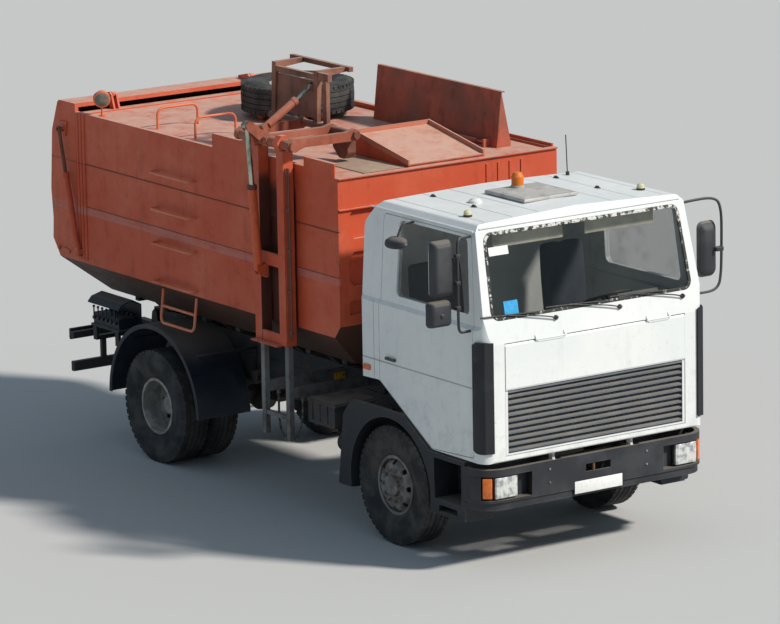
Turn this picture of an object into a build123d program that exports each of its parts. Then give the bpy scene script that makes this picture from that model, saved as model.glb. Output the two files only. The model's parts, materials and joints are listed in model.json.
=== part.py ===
"""Side-loading garbage truck, in millimetres.

X points forward, Y to the left and Z up. The origin is on the ground, under the middle of the
truck. Each function builds one node, and the calls at the end write the nodes as STEP files.
"""

from build123d import *
import math
import os

os.makedirs("parts", exist_ok=True)

# Overall sizes and axle places. The front axle keeps its place while the truck is drawn, and
# save() moves every node so that the origin lies under the truck's middle.
WHEELBASE = 3950.0
FRONT_OVERHANG = 1450.0
REAR_OVERHANG = 1800.0
FRONT_AXLE_X = 2150.0
REAR_AXLE_X = FRONT_AXLE_X - WHEELBASE
FRONT_X = FRONT_AXLE_X + FRONT_OVERHANG
REAR_X = REAR_AXLE_X - REAR_OVERHANG
CENTRE_X = (FRONT_X + REAR_X) / 2

# Fits and clearances
FIT = 0.3            # between pieces that seat on each other
RUN = 0.05           # radial, between a shaft and its bore
DOOR_GAP = 6.0       # round a door or lid

# Tyres and rims, 20 inch wheels
TYRE_R = 545.0
TYRE_W = 293.0
BEAD_R = 254.0
BEAD_W = 210.0
RIM_LIP = 272.0
RIM_WALL = 8.0
FRONT_WHEEL_Y = 1069.0
TWIN_OUTER_Y = 1089.0
TWIN_INNER_Y = 759.0
AXLE_Z = TYRE_R

# Steering
KINGPIN_Y = 950.0
KINGPIN_R = 22.0
STUB_R = 35.0
ARM_BACK = 210.0     # tie rod pin behind the kingpin
ARM_IN = 36.0        # and inboard of it
TIE_Z = 405.0

# Frame rails
RAIL_Y = 430.0
RAIL_W = 75.0
RAIL_T = 8.0
RAIL_LOW = 780.0
RAIL_TOP = 1040.0
RAIL_REAR = REAR_X + 250
RAIL_FRONT = FRONT_X - 170

# Cab
CAB_REAR = FRONT_AXLE_X - 450
CAB_FRONT = FRONT_X - 20
CAB_HALF = 1220.0
CAB_LOW = 1005.0
CAB_TOP = 3130.0
CAB_WALL = 50.0
FLOOR_Z = 1405.0
SCREEN_LINE = ((CAB_FRONT - 30, 2250.0), (CAB_FRONT - 208, 3046.0))  # X, Z of its plane
PILLAR_LINE = ((1194.0, 2222.0), (1140.0, 3035.0))      # Y, Z of the side above the waist
PANEL_HALF = 985.0
PANEL_TOP = 2058.0
PANEL_LOW = 1640.0
PANEL_AXIS = (CAB_FRONT + 8, PANEL_TOP - 2)
PANEL_HINGES = ((-660.0, -330.0), (560.0, 820.0))
GRILLE_LOW = 1060.0
POCKET = 95.0
TILT_X = CAB_FRONT - 60
TILT_Z = 900.0
TILT_R = 20.0
TILT_Y = 430.0

# Doors
DOOR_REAR = FRONT_AXLE_X - 160
DOOR_FRONT = CAB_FRONT - 156
GLASS_IN = 18.0
GLASS_T = 6.0

# Front wheel arches, steps and bumper
ARCH_R = 625.0
ARCH_T = 12.0
ARCH_FACE = 1237.0
STEP_FRONT = CAB_FRONT - 281
BUMPER_LOW = 580.0
BUMPER_TOP = 950.0
BUMPER_SIDE = FRONT_X - 300
BUMPER_HALF = 1250.0
BUMPER_ROUND = 230.0
BUMPER_T = 14.0

# Refuse body
BODY_HALF = 1220.0
BODY_WALL = 40.0
BODY_FLOOR = 1400.0
BODY_KNEE = 1750.0
BODY_FOOT = 800.0
ROOF_TOP = 3200.0
SIDE_TOP = ROOF_TOP + 22
ROOF_T = 35.0
BOARD_TOP = SIDE_TOP + 128
BOARD_LOW = SIDE_TOP + 40  # where the arms swing over it
BODY_REAR = REAR_X + 490
BODY_FRONT = CAB_REAR - 320
WALL_FOOT = BODY_FRONT - 370
FRONT_WALL = 50.0
TIP_X = REAR_X + 600
TIP_Z = 1150.0
TIP_R = 30.0
GATE_X = REAR_X + 505
GATE_Z = ROOF_TOP + 145
GATE_R = 18.0
SPARE = (REAR_AXLE_X + 100, 420.0)
VALVE_X = (REAR_AXLE_X - 1160, REAR_AXLE_X - 700)

# Roof hatch of the body
HATCH_X = (400.0, 1250.0)
HATCH_Y = (-350.0, 500.0)
HATCH_LOW = ROOF_TOP + 16
HATCH_HIGH = ROOF_TOP + 174
HATCH_HINGES = (560.0, 1080.0)

# Loader
POST_X = (240.0, 640.0)
POST_Y = -BODY_HALF - 70
PIVOT_Y = -BODY_HALF - 100
PIVOT_Z = ROOF_TOP + 250
POST_TOP = PIVOT_Z - 710
DRUM_R = 50.0
GRIP_Y = -640.0
GRIP_Z = PIVOT_Z + 30
GRIP_R = 34.0

# Slack hose between the loader's two bracket arms: its control points, in X, Y and Z
HOSE_R = 11.0
HOSE_Y = -1150.0
HOSE_TOP = 1040.0
HOSE = (
    (POST_X[0], HOSE_Y, HOSE_TOP), (POST_X[0], HOSE_Y, 930.0), (250.0, -1158.0, 800.0),
    (310.0, -1172.0, 680.0), (420.0, -1180.0, 622.0), (540.0, -1176.0, 664.0),
    (620.0, -1162.0, 790.0), (POST_X[1], HOSE_Y, 925.0), (POST_X[1], HOSE_Y, HOSE_TOP),
)

# Cylinders: X and Z, or Y and Z for the loader's, of the base pin and the rod's eye
TIPPING_BASE = (TIP_X + 700, 850.0)
TIPPING_EYE = (TIP_X + 2000, 1130.0)
GATE_CYL_Y = BODY_HALF + 56
GATE_BASE = (BODY_REAR + 70, 1850.0)
GATE_EYE = (BODY_REAR - 220, ROOF_TOP - 170)
LIFT_X = 350.0
LIFT_BASE = (PIVOT_Y - 90, PIVOT_Z - 1200)
LIFT_EYE = (PIVOT_Y - 180, PIVOT_Z + 150)
TILT_CYL_X = 130.0
TILT_BASE = (PIVOT_Y + 140, PIVOT_Z + 50)
TILT_EYE = (GRIP_Y - 10, PIVOT_Z + 380)


def block(x, y, z):
    """Box between the low and high value of each pair."""
    spans = (x, y, z)
    size = [high - low for low, high in spans]
    middle = [(high + low) / 2 for low, high in spans]
    return Pos(*middle) * Box(*size)


def face_of(points, radii):
    """Closed outline with round corners, as a face in local X and Y."""
    if radii:
        return make_face(FilletPolyline(*points, radius=radii, close=True))
    return make_face(Polyline(*points, close=True))


def slab_xz(points, y, radii=0):
    """Outline in X and Z, thick along Y."""
    plane = Plane.XZ.offset(-y[1])
    return extrude(plane * face_of(points, radii), y[1] - y[0])


def slab_yz(points, x, radii=0):
    """Outline in Y and Z, thick along X."""
    plane = Plane.YZ.offset(x[0])
    return extrude(plane * face_of(points, radii), x[1] - x[0])


def slab_xy(points, z, radii=0):
    """Outline in X and Y, thick along Z."""
    plane = Plane.XY.offset(z[0])
    return extrude(plane * face_of(points, radii), z[1] - z[0])


def rod(start, end, radius):
    """Round bar between two points."""
    a, b = Vector(start), Vector(end)
    plane = Plane(origin=a, z_dir=b - a)
    return extrude(plane * Circle(radius), (b - a).length)


def turned_y(profile, x, y, z):
    """Profile of (radius, y) points turned about an axis along Y through the given place."""
    return Pos(x, y, z) * revolve(make_face(Polyline(*profile, close=True)), axis=Axis.Y)


def pipe(points, bend, radius):
    """Bent round tube along straight runs."""
    path = FilletPolyline(*points, radius=bend)
    plane = Plane(origin=path @ 0, z_dir=path % 0)
    return sweep(plane * Circle(radius), path=path)


def mirrored(shape):
    """The same piece on the other side of the truck."""
    return mirror(shape, about=Plane.XZ)


def both(shape):
    """The piece with its mirror image."""
    return shape + mirrored(shape)


def save(name, *shapes):
    """Write one node, moved so that the origin lies under the truck's middle."""
    solids = [Pos(-CENTRE_X, 0, 0) * solid for shape in shapes for solid in shape.solids()]
    node = Compound(solids) if len(solids) > 1 else solids[0]
    export_step(node, os.path.join("parts", name + ".step"))


# Wheels


def tyre():
    """Tyre about the Y axis: beads, bulged side walls, rounded shoulders and a crowned tread."""
    half = TYRE_W / 2
    bead = BEAD_W / 2
    wall_r, shoulder_r, tread_r = TYRE_R - 40, TYRE_R - 17, TYRE_R - 7
    outline = [
        ThreePointArc((tread_r, half - 42), (TYRE_R, 0), (tread_r, 42 - half)),
        Line((BEAD_R, -bead), (BEAD_R, bead)),
    ]
    for s in (1, -1):
        outline += [
            Line((BEAD_R, s * bead), (BEAD_R + 24, s * bead)),
            ThreePointArc((BEAD_R + 24, s * bead), (420, s * half), (wall_r, s * (half - 12))),
            ThreePointArc((wall_r, s * (half - 12)), (shoulder_r, s * (half - 20)),
                          (tread_r, s * (half - 42))),
        ]
    return revolve(make_face(outline), axis=Axis.Y)


def rim_barrel(disc_y, outward):
    """Rim with its two lips and the disc that carries it, about the Y axis."""
    seat = BEAD_R - FIT
    lip = BEAD_W / 2 + FIT
    edge = lip + RIM_WALL
    inner = seat - RIM_WALL
    barrel = [
        (RIM_LIP, edge), (RIM_LIP, lip), (seat, lip), (seat, -lip), (RIM_LIP, -lip),
        (RIM_LIP, -edge), (inner, -edge), (inner, edge),
    ]
    disc = [
        (inner + 1, disc_y - outward * 70), (inner + 1, disc_y - outward * 55),
        (205, disc_y), (120, disc_y), (120, disc_y - outward * 12), (200, disc_y - outward * 12),
    ]
    holes = 8
    shape = turned_y(barrel, 0, 0, 0) + turned_y(disc, 0, 0, 0)
    for index in range(holes):
        turn = Rot(0, 360 / holes * index, 0)
        shape -= turn * rod((212, disc_y - 90, 0), (212, disc_y + 90, 0), 25)
    return shape


def front_rim(side):
    """Front rim, disc bulging outwards, with its hub and brake drum."""
    disc_y = 128
    hub_in = KINGPIN_Y + 85 - FRONT_WHEEL_Y
    bore = STUB_R + RUN
    hub = [
        (bore, hub_in), (72, hub_in), (72, 58), (120.5, 58), (120.5, disc_y), (96, disc_y),
        (96, disc_y + 34), (70, disc_y + 42), (0, disc_y + 42), (0, disc_y + 8), (bore, disc_y + 8),
    ]
    drum = [(71, 30), (205, 30), (205, hub_in + 8), (192, hub_in + 8), (192, 18), (71, 18)]
    shape = rim_barrel(disc_y, 1) + turned_y(hub, 0, 0, 0) + turned_y(drum, 0, 0, 0)
    shape = Pos(FRONT_AXLE_X, FRONT_WHEEL_Y, AXLE_Z) * shape
    return shape if side > 0 else mirrored(shape)


def rear_rims(side):
    """Pair of rear rims, their discs back to back, with the hub and drum between them."""
    face = (TWIN_OUTER_Y + TWIN_INNER_Y) / 2
    outer = Pos(0, TWIN_OUTER_Y, 0) * rim_barrel(face - TWIN_OUTER_Y + 12, -1)
    inner = Pos(0, TWIN_INNER_Y, 0) * rim_barrel(face - TWIN_INNER_Y - 12, 1)
    bore = 45 + RUN
    hub = [
        (bore, 660), (80, 660), (80, 800), (121, 800), (121, face + 22), (105, face + 22),
        (105, face + 130), (85, face + 150), (0, face + 150), (0, 1012), (bore, 1012),
    ]
    drum = [(79, 812), (205, 812), (205, 668), (192, 668), (192, 800), (79, 800)]
    shape = outer + inner + turned_y(hub, 0, 0, 0) + turned_y(drum, 0, 0, 0)
    shape = Pos(REAR_AXLE_X, 0, AXLE_Z) * shape
    return shape if side > 0 else mirrored(shape)


def front_tyre(side):
    return Pos(FRONT_AXLE_X, side * FRONT_WHEEL_Y, AXLE_Z) * tyre()


def rear_tyres(side):
    one = tyre()
    places = (TWIN_OUTER_Y, TWIN_INNER_Y)
    return [Pos(REAR_AXLE_X, side * y, AXLE_Z) * one for y in places]


# Axles, steering and springs


def knuckle(side):
    """Forked knuckle round the beam end, with kingpin, stub shaft, brake plate and arm."""
    x, y = FRONT_AXLE_X, KINGPIN_Y
    web = block((x - 48, x + 48), (y + 50, y + 76), (420, 670))
    shape = web
    for low, high in ((420, 462), (628, 670)):
        shape += block((x - 48, x + 48), (y, y + 60), (low, high))
        shape += rod((x, y, low), (x, y, high), 48)
    shape += rod((x, y, 420), (x, y, 670), KINGPIN_R)
    shape += rod((x, y + 60, AXLE_Z), (x, FRONT_WHEEL_Y + 132, AXLE_Z), STUB_R)
    plate = [(30, y + 70), (186, y + 70), (186, y + 80), (30, y + 80)]
    shape += turned_y(plate, x, 0, AXLE_Z)
    arm = [(x + 20, y + 30), (x - ARM_BACK, y - ARM_IN + 30), (x - ARM_BACK, y - ARM_IN - 30),
           (x + 20, y - 44)]
    shape += slab_xy(arm, (TIE_Z + 17, TIE_Z + 39))
    shape += rod((x - ARM_BACK, y - ARM_IN, TIE_Z + 17), (x - ARM_BACK, y - ARM_IN, TIE_Z + 39), 32)
    if side < 0:
        return mirrored(shape)
    return shape + rod((x - ARM_BACK, y - ARM_IN, TIE_Z - 18), (x - ARM_BACK, y - ARM_IN, TIE_Z + 30), 12)


def tie_rod():
    """Rod between the two knuckle arms: an eye round the left arm's pin, a closed one on the right."""
    x = FRONT_AXLE_X - ARM_BACK
    end = KINGPIN_Y - ARM_IN
    shape = rod((x, -end + 20, TIE_Z), (x, end - 20, TIE_Z), 16)
    for y in (end, -end):
        shape += rod((x, y, TIE_Z - 15), (x, y, TIE_Z + 15), 28)
    return shape - rod((x, end, TIE_Z - 30), (x, end, TIE_Z + 30), 12 + RUN)


def front_axle_beam():
    """Forged I beam, dropped in the middle, with an eye for each kingpin."""
    x = FRONT_AXLE_X
    half = KINGPIN_Y - 20
    outline = [
        (-half, 488), (-720, 440), (-560, 428), (560, 428), (720, 440), (half, 488),
        (half, 602), (700, 546), (540, 528), (-540, 528), (-700, 546), (-half, 602),
    ]
    shape = slab_yz(outline, (x - 50, x + 50))
    web = [
        (-800, 488), (-700, 466), (-550, 454), (550, 454), (700, 466), (800, 488),
        (800, 540), (690, 522), (530, 502), (-530, 502), (-690, 522), (-800, 540),
    ]
    for span in ((x - 60, x - 16), (x + 16, x + 60)):
        shape -= slab_yz(web, span)
    for y in (KINGPIN_Y, -KINGPIN_Y):
        shape += rod((x, y, 466), (x, y, 624), 44)
    for y in (KINGPIN_Y, -KINGPIN_Y):
        shape -= rod((x, y, 460), (x, y, 630), KINGPIN_R + RUN)
        shape -= rod((x, y, 380), (x, y, 465.5), 60)
    return shape


def rear_axle_housing():
    """Banjo housing with its bowl, pinion nose, spring seats and hollow-looking spindles."""
    x, z = REAR_AXLE_X, AXLE_Z
    shape = rod((x, -610, z), (x, 610, z), 72)
    bowl = [(0, -120), (150, -110), (200, -55), (200, 55), (150, 110), (0, 120)]
    shape += turned_y(bowl, x, 0, z)
    shape += rod((x, 0, z), (x + 330, 0, z + 10), 85)
    for side in (1, -1):
        shape += rod((x, side * 600, z), (x, side * 1000, z), 45)
        plate = [(40, 638), (188, 638), (188, 648), (40, 648)]
        disc = turned_y(plate, x, 0, z)
        shape += disc if side > 0 else mirrored(disc)
        shape += block((x - 60, x + 60), sorted((side * 448, side * 532)), (z + 40, z + 92))
    return shape


def leaf_spring(x, y, low, length, leaves, rise):
    """Stack of curved leaves, longest on top, each leaf an arc in X and Z."""
    width = 76
    leaf = 15
    shape = None
    for index in range(leaves):
        half = length / 2 * (1 - 0.17 * index)
        top = low + leaf * (leaves - index)
        lift = rise * (half / (length / 2)) ** 2
        upper = ThreePointArc((x - half, top + lift), (x, top), (x + half, top + lift))
        lower = ThreePointArc((x + half, top + lift - leaf), (x, top - leaf), (x - half, top + lift - leaf))
        ends = [Line(upper @ 1, lower @ 0), Line(lower @ 1, upper @ 0)]
        face = make_face(Wire([upper, ends[0], lower, ends[1]]))
        solid = extrude(Plane.XZ.offset(-(y + width / 2)) * face, width)
        shape = solid if shape is None else shape + solid
    top = low + leaf * leaves + rise
    for end in (x - length / 2, x + length / 2):
        shape += rod((end, y - width / 2, top - 8), (end, y + width / 2, top - 8), 30)
    return shape


def front_springs():
    """Front springs on the beam, under the rails."""
    return [leaf_spring(FRONT_AXLE_X, y, 528 + FIT, 1400, 5, 110) for y in (392, -392)]


def rear_springs():
    """Rear springs on the axle, outside the rails."""
    return [leaf_spring(REAR_AXLE_X, y, AXLE_Z + 92 + FIT, 1400, 5, 120) for y in (490, -490)]


# Chassis


def chassis_frame():
    """Two channel rails with cross members, spring hangers, tilt and tipping brackets."""
    outer, inner = RAIL_Y, RAIL_Y - RAIL_W
    low, top, t = RAIL_LOW, RAIL_TOP, RAIL_T
    channel = [
        (inner, low), (outer, low), (outer, top), (inner, top),
        (inner, top - t), (outer - t, top - t), (outer - t, low + t), (inner, low + t),
    ]
    shape = both(slab_yz(channel, (RAIL_REAR, RAIL_FRONT)))
    members = [
        # x, low z, high z
        (FRONT_X - 300, 800, 880),
        (1180, 940, 1030),
        (-500, 830, 980),
        (TIPPING_BASE[0] - 125, 800, 960),
        (RAIL_REAR + 60, 830, 980),
    ]
    web = RAIL_Y - RAIL_T + 1
    for x, z0, z1 in members:
        shape += block((x - 40, x + 40), (-web, web), (z0, z1))
    spring_top = 528 + FIT + 75 + 110 - 8
    for x in (FRONT_AXLE_X - 700, FRONT_AXLE_X + 700):
        hanger = [(x - 60, RAIL_LOW + 1), (x + 60, RAIL_LOW + 1), (x + 30, spring_top - 25),
                  (x - 30, spring_top - 25)]
        for y in ((343, 353.7), (430.3, 441)):
            plate = slab_xz(hanger, y)
            if y[0] > 400:
                plate += block((x - 60, x + 60), (429, 441), (RAIL_LOW, RAIL_LOW + 60))
            else:
                plate += block((x - 60, x + 60), (343, 360), (RAIL_LOW, RAIL_LOW + 8))
            shape += both(plate)
    rear_top = AXLE_Z + 92 + FIT + 75 + 120 - 8
    for x in (REAR_AXLE_X - 700, REAR_AXLE_X + 700):
        hanger = [(x - 60, rear_top + 90), (x + 60, rear_top + 90), (x + 30, rear_top - 30),
                  (x - 30, rear_top - 30)]
        for y in ((441, 451.7), (528.3, 539)):
            shape += both(slab_xz(hanger, y))
        shape += both(block((x - 60, x + 60), (429, 539), (rear_top + 60, rear_top + 90)))
    lug = [
        (TILT_X - 140, 790), (TILT_X - 40, 790), (TILT_X + 32, 862), (TILT_X + 32, 905),
        (TILT_X, 932), (TILT_X - 140, 932),
    ]
    for y in ((TILT_Y - 30, TILT_Y - 16), (TILT_Y + 16, TILT_Y + 30)):
        shape += both(slab_xz(lug, y))
    shape += both(block((TILT_X - 140, RAIL_FRONT), (TILT_Y - 30, TILT_Y + 30), (790, 812)))
    pin = rod((TILT_X, TILT_Y - 30, TILT_Z), (TILT_X, TILT_Y + 30, TILT_Z), TILT_R)
    shape += both(pin)
    tip = [(TIP_X - 90, 880), (TIP_X + 90, 880), (TIP_X + 42, TIP_Z + 10), (TIP_X, TIP_Z + 44),
           (TIP_X - 42, TIP_Z + 10)]
    shape += both(slab_xz(tip, (429, 452)))
    shape += both(rod((TIP_X, 352, TIP_Z), (TIP_X, 452, TIP_Z), TIP_R))
    base = TIPPING_BASE
    for y in ((-64, -46), (46, 64)):
        shape += slab_xz([(base[0] - 90, base[1] - 45), (base[0] + 30, base[1] - 45),
                          (base[0] + 40, base[1] + 10), (base[0], base[1] + 44),
                          (base[0] - 90, base[1] + 44)], y)
    shape += rod((base[0], -64, base[1]), (base[0], 64, base[1]), 25)
    for side in (1, -1):
        arm_y = sorted((side * 429, side * 1205))
        shape += block((RAIL_REAR + 5, RAIL_REAR + 60), arm_y, (950, 1012))
        post_y = sorted((side * 830, side * 880))
        shape += block((RAIL_REAR + 15, RAIL_REAR + 55), post_y, (719, 952))
    low, high = RAIL_REAR + 5, RAIL_REAR + 65
    shape += slab_xz([(low, 620), (high, 620), (high, 720), (low, 720)], (-1207, 1207),
                     [14, 14, 14, 14])
    for low, inner in ((VALVE_X[1] - 60, -429), (VALVE_X[0], -453)):
        shape += block((low, low + 60), (-1180, inner), (1000, 1040))
        shape += block((low, low + 60), (-1180, -1150), (1000, 1140))
    shape += block((VALVE_X[0] - 20, VALVE_X[1] + 20), (-1190, -930), (1139, 1160))
    return shape


def engine_block():
    """Engine and gearbox as one plain block, on the rails under the cab."""
    shape = slab_xz([(1980, 640), (2940, 640), (2990, 760), (2990, 1380), (2860, 1440),
                     (2060, 1440), (1980, 1300)], (-290, 290))
    shape += slab_xz([(1330, 800), (1990, 700), (1990, 1120), (1480, 1030), (1330, 980)],
                     (-190, 190))
    web = RAIL_Y - RAIL_T - FIT
    shape += block((2700, 2790), (-web, web), (900, 990))
    shape += block((1760, 1840), (-web, web), (900, 960))
    return shape


def propshaft():
    """Shaft from the gearbox to the rear axle, with a flange at each end."""
    start = Vector(1330 - FIT, 0, 890)
    end = Vector(REAR_AXLE_X + 330 + FIT, 0, AXLE_Z + 10)
    run = (end - start).normalized()
    shape = rod(start, end, 45)
    shape += rod(start, (start + run * 50), 75)
    shape += rod((end - run * 50), end, 75)
    cut = block((start.X, start.X + 200), (-120, 120), (700, 1100))
    return shape - cut - block((end.X - 200, end.X), (-120, 120), (400, 760))


def fuel_tank():
    """Fuel tank on the left rail, with its two straps and brackets."""
    low, high = 520, 1000
    shape = slab_xz([(40, low), (860, low), (860, high), (40, high)], (560, 1150))
    shape = fillet(shape.edges().filter_by(Axis.X), 90)
    for x in (200, 700):
        strap = slab_yz([(552, low - 8), (1158, low - 8), (1158, high + 8), (552, high + 8)],
                        (x - 30, x + 30), 96)
        hole = slab_yz([(560, low), (1150, low), (1150, high), (560, high)],
                       (x - 40, x + 40), 90)
        shape += strap - hole
        shape += block((x - 40, x + 40), (430 + FIT, 640), (560, 620))
        shape += block((x - 40, x + 40), (430 + FIT, 470), (560, 1000))
        shape += block((x - 40, x + 40), (465, 562), (760, 900))
    shape += rod((760, 900, high - 5), (760, 900, high + 50), 55)
    return shape


def battery_box():
    """Ribbed battery box on the right, on two bracket arms."""
    shape = slab_xz([(800, 885), (1230, 885), (1230, 1120), (800, 1120)], (-1200, -760),
                    [18, 18, 30, 30])
    for x in (880, 1000, 1120):
        shape -= block((x - 14, x + 14), (-1210, -1192), (910, 1090))
    shape += block((780, 1250), (-1206, -752), (1085, 1100))
    for x in (850, 1180):
        shape += block((x - 25, x + 25), (-1150, -430 - FIT), (850, 886))
    return shape


def air_tanks():
    """Two air tanks along the right rail, with straps to the rail."""
    shape = None
    for z in (560, 750):
        tank = rod((520, -620, z), (1290, -620, z), 92)
        tank = fillet(tank.edges(), 30)
        for x in (640, 1060):
            tank += rod((x - 20, -620, z), (x + 20, -620, z), 97)
        shape = tank if shape is None else shape + tank
    for x in (640, 1060):
        shape += block((x - 20, x + 20), (-540, -430 - FIT), (540, 780))
        shape += block((x - 20, x + 20), (-470, -430 - FIT), (540, 940))
    return shape


def bumper_form(inset, z):
    """Plan of the bumper, set in by the given wall, between two heights."""
    half = BUMPER_HALF - inset
    front = FRONT_X - inset
    points = [(BUMPER_SIDE, -half), (front, -half), (front, half), (BUMPER_SIDE, half)]
    turn = BUMPER_ROUND - inset
    return slab_xy(points, z, [0, turn, turn, 0])


def front_bumper():
    """Pressed bumper that wraps round, open behind, with lamp recesses and tow slot."""
    behind = block((BUMPER_SIDE - 1, FRONT_X), (-BUMPER_HALF, BUMPER_HALF), (0, 2000))
    skin = bumper_form(0, (650, BUMPER_TOP)) + bumper_form(18, (BUMPER_LOW, 651))
    hollow = bumper_form(BUMPER_T, (664, BUMPER_TOP - 12))
    hollow += bumper_form(46, (BUMPER_LOW - 1, BUMPER_TOP + 1))
    hollow += bumper_form(18 + BUMPER_T, (BUMPER_LOW + 14, 665))
    shape = (skin - hollow) & behind
    shape -= block((FRONT_X - 50, FRONT_X + 40), (-138, 138), (790, 860))
    for side in (1, -1):
        notch = sorted((side * (TILT_Y - 45), side * (TILT_Y + 45)))
        shape -= block((FRONT_X - 100, FRONT_X - BUMPER_T), notch, (900, BUMPER_TOP + 1))
        shape -= block((FRONT_X - 230, FRONT_X + 40), sorted((side * 725, side * 1260)), (672, 888))
        ring = bumper_form(0.01, (660, 900)) - bumper_form(92, (640, 920))
        tray = bumper_form(-1, (672, 888)) - bumper_form(84, (660, 900))
        zone = block((FRONT_X - 238, FRONT_X + 40), sorted((side * 715, side * 1260)), (660, 900))
        shape += (ring - tray) & zone
        shape += block((RAIL_FRONT - 80, FRONT_X - BUMPER_T + 1), sorted((side * 357, side * 396)),
                       (RAIL_LOW + RAIL_T + FIT, 870))
    return shape


def bumper_lamp(y, z, proud):
    """Lamp that follows the bumper's front, between two widths."""
    shape = bumper_form(proud, z) - bumper_form(84 - FIT, (z[0] - 1, z[1] + 1))
    return shape & block((FRONT_X - 230 + FIT, FRONT_X + 40), y, z)


def headlamps():
    """Headlamps in the bumper's recesses."""
    return both(bumper_lamp((912, 1172), (672 + FIT, 888 - FIT), 8))


def turn_lamps():
    """Turn lamps outboard of the headlamps."""
    return both(bumper_lamp((1182, 1250), (690, 870), 3))


def front_arches():
    """Wheel arch lips and liners with the entry steps ahead of them."""
    x, z = FRONT_AXLE_X, AXLE_Z
    lip = [
        (x - 820, 415), (x - 730, 1080), (x - 590, 1240), (x + 210, 1240), (x + 605, 990),
        (STEP_FRONT, 985), (STEP_FRONT, 440), (x + 610, 440),
    ]
    shape = slab_xz(lip, (1196, ARCH_FACE), [20, 120, 90, 60, 60, 10, 40, 20])
    disc = rod((x, 600, z), (x, 1300, z), ARCH_R)
    liner = rod((x, 790, z), (x, 1197, z), ARCH_R + ARCH_T)
    liner &= block((x - 820, x + 622), (790, 1197), (415, 1300))
    step = slab_xz([(x + 612, 440), (STEP_FRONT, 440), (STEP_FRONT, 985), (x + 612, 985)],
                   (930, 1197))
    shape += liner + step
    shape -= disc
    shape -= block((x + 685, STEP_FRONT - 54), (975, 1240), (575, 945))
    shape -= block((x + 750, STEP_FRONT - 119), (1150, 1240), (470, 530))
    shape += block((x - 775, x - 725), (RAIL_Y + FIT, 1197), (845, 895))
    shape += block((STEP_FRONT - 99, STEP_FRONT - 39), (RAIL_Y + FIT, 931), (850, 900))
    return both(shape)


def rear_fenders():
    """Rolled steel fender over each pair of rear wheels, on two stays."""
    x, z = REAR_AXLE_X, AXLE_Z
    ring = rod((x, 655, z), (x, 1240, z), 797) - rod((x, 600, z), (x, 1300, z), 785)
    edge = rod((x, 1228, z), (x, 1240, z), 797) - rod((x, 1200, z), (x, 1300, z), 755)
    keep = block((x - 900, x + 900), (600, 1300), (560, 1500))
    shape = (ring + edge) & keep
    for dx in (-560, 560):
        stay_z = z + math.sqrt(797 ** 2 - 560 ** 2)
        shape += block((x + dx - 25, x + dx + 25), (430 + FIT, 1100), (stay_z - 12, stay_z + 10))
        shape += block((x + dx - 25, x + dx + 25), (430 + FIT, 442), (900, stay_z + 10))
    return both(shape)


def tail_lamps():
    """Lamp boxes on the rear bracket arms."""
    box = slab_yz([(670, 930), (1205, 930), (1205, 1040), (670, 1040)],
                  (RAIL_REAR - 35, RAIL_REAR + 5 - FIT), 16)
    for y in (790, 930, 1070):
        box -= block((RAIL_REAR - 40, RAIL_REAR - 29), (y - 3, y + 3), (920, 1050))
    return both(box)


def valve_bank():
    """Hydraulic control block with its spools, pipes and levers."""
    low = 1160 + FIT
    shape = block(VALVE_X, (-1170, -960), (low, 1270))
    for index in range(6):
        x = VALVE_X[0] + 40 + 76 * index
        shape += rod((x, -1200, 1225), (x, -1165, 1225), 18)
        shape += rod((x, -1190, 1225), (x, -1190, 1330), 7)
        shape += Pos(x, -1190, 1335) * Sphere(14)
        shape += rod((x, -1000, 1265), (x, -1000, 1300), 16)
    return shape


def valve_cover():
    """Curved rubber flap over the controls, held along its inner edge."""
    width = (VALVE_X[0] - 50, VALVE_X[1] + 50)
    outer = [(-940, 1160 + FIT), (-940, 1400), (-1040, 1452), (-1160, 1420), (-1205, 1370)]
    inner = [(-1198, 1360), (-1154, 1410), (-1040, 1440), (-952, 1392), (-952, 1160 + FIT)]
    return slab_yz(outer + inner, width)


# Cab


def cab_form(inset):
    """Outer form of the cab, set in by the given depth on every side."""
    side = [
        (CAB_REAR, 1480), (DOOR_REAR - 5, 1490), (FRONT_AXLE_X + 640, CAB_LOW), (CAB_FRONT, CAB_LOW),
        (CAB_FRONT, 2060), *SCREEN_LINE, (CAB_FRONT - 270, CAB_TOP), (CAB_REAR + 250, CAB_TOP),
        (CAB_REAR, 2880),
    ]
    section = [
        (-CAB_HALF, 900), (CAB_HALF, 900), (CAB_HALF, 2188), *PILLAR_LINE,
        (1085, 3090), (0, 3126), (-1085, 3090), (-1140, 3035), (-1194, 2222), (-CAB_HALF, 2188),
    ]
    corner = [(CAB_REAR, -CAB_HALF), (CAB_FRONT, -CAB_HALF), (CAB_FRONT, CAB_HALF),
              (CAB_REAR, CAB_HALF)]
    side_face = face_of(side, [20, 60, 60, 20, 0, 0, 50, 60, 120, 120])
    section_face = face_of(section, [0, 0, 0, 0, 0, 40, 0, 40, 0, 0, 0])
    plan_face = face_of(corner, [40, 120, 120, 40])
    if inset:
        side_face = offset(side_face, -inset, kind=Kind.INTERSECTION)
        section_face = offset(section_face, -inset, kind=Kind.INTERSECTION)
        plan_face = offset(plan_face, -inset, kind=Kind.INTERSECTION)
    shape = extrude(Plane.XZ.offset(-1300) * side_face, 2600)
    shape &= extrude(Plane.YZ.offset(CAB_REAR - 100) * section_face, CAB_FRONT - CAB_REAR + 200)
    shape &= extrude(Plane.XY.offset(900) * plan_face, 2400)
    return shape


def door_outline(inset):
    """Outline of the door seen from the side."""
    points = [(DOOR_REAR, 1487), (FRONT_AXLE_X + 642, 1008), (DOOR_FRONT, 1040), (DOOR_FRONT, 2190),
              (DOOR_FRONT - 102, 3004), (DOOR_REAR, 3004)]
    face = face_of(points, [30, 40, 30, 120, 60, 60])
    return offset(face, -inset, kind=Kind.INTERSECTION) if inset else face


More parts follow.
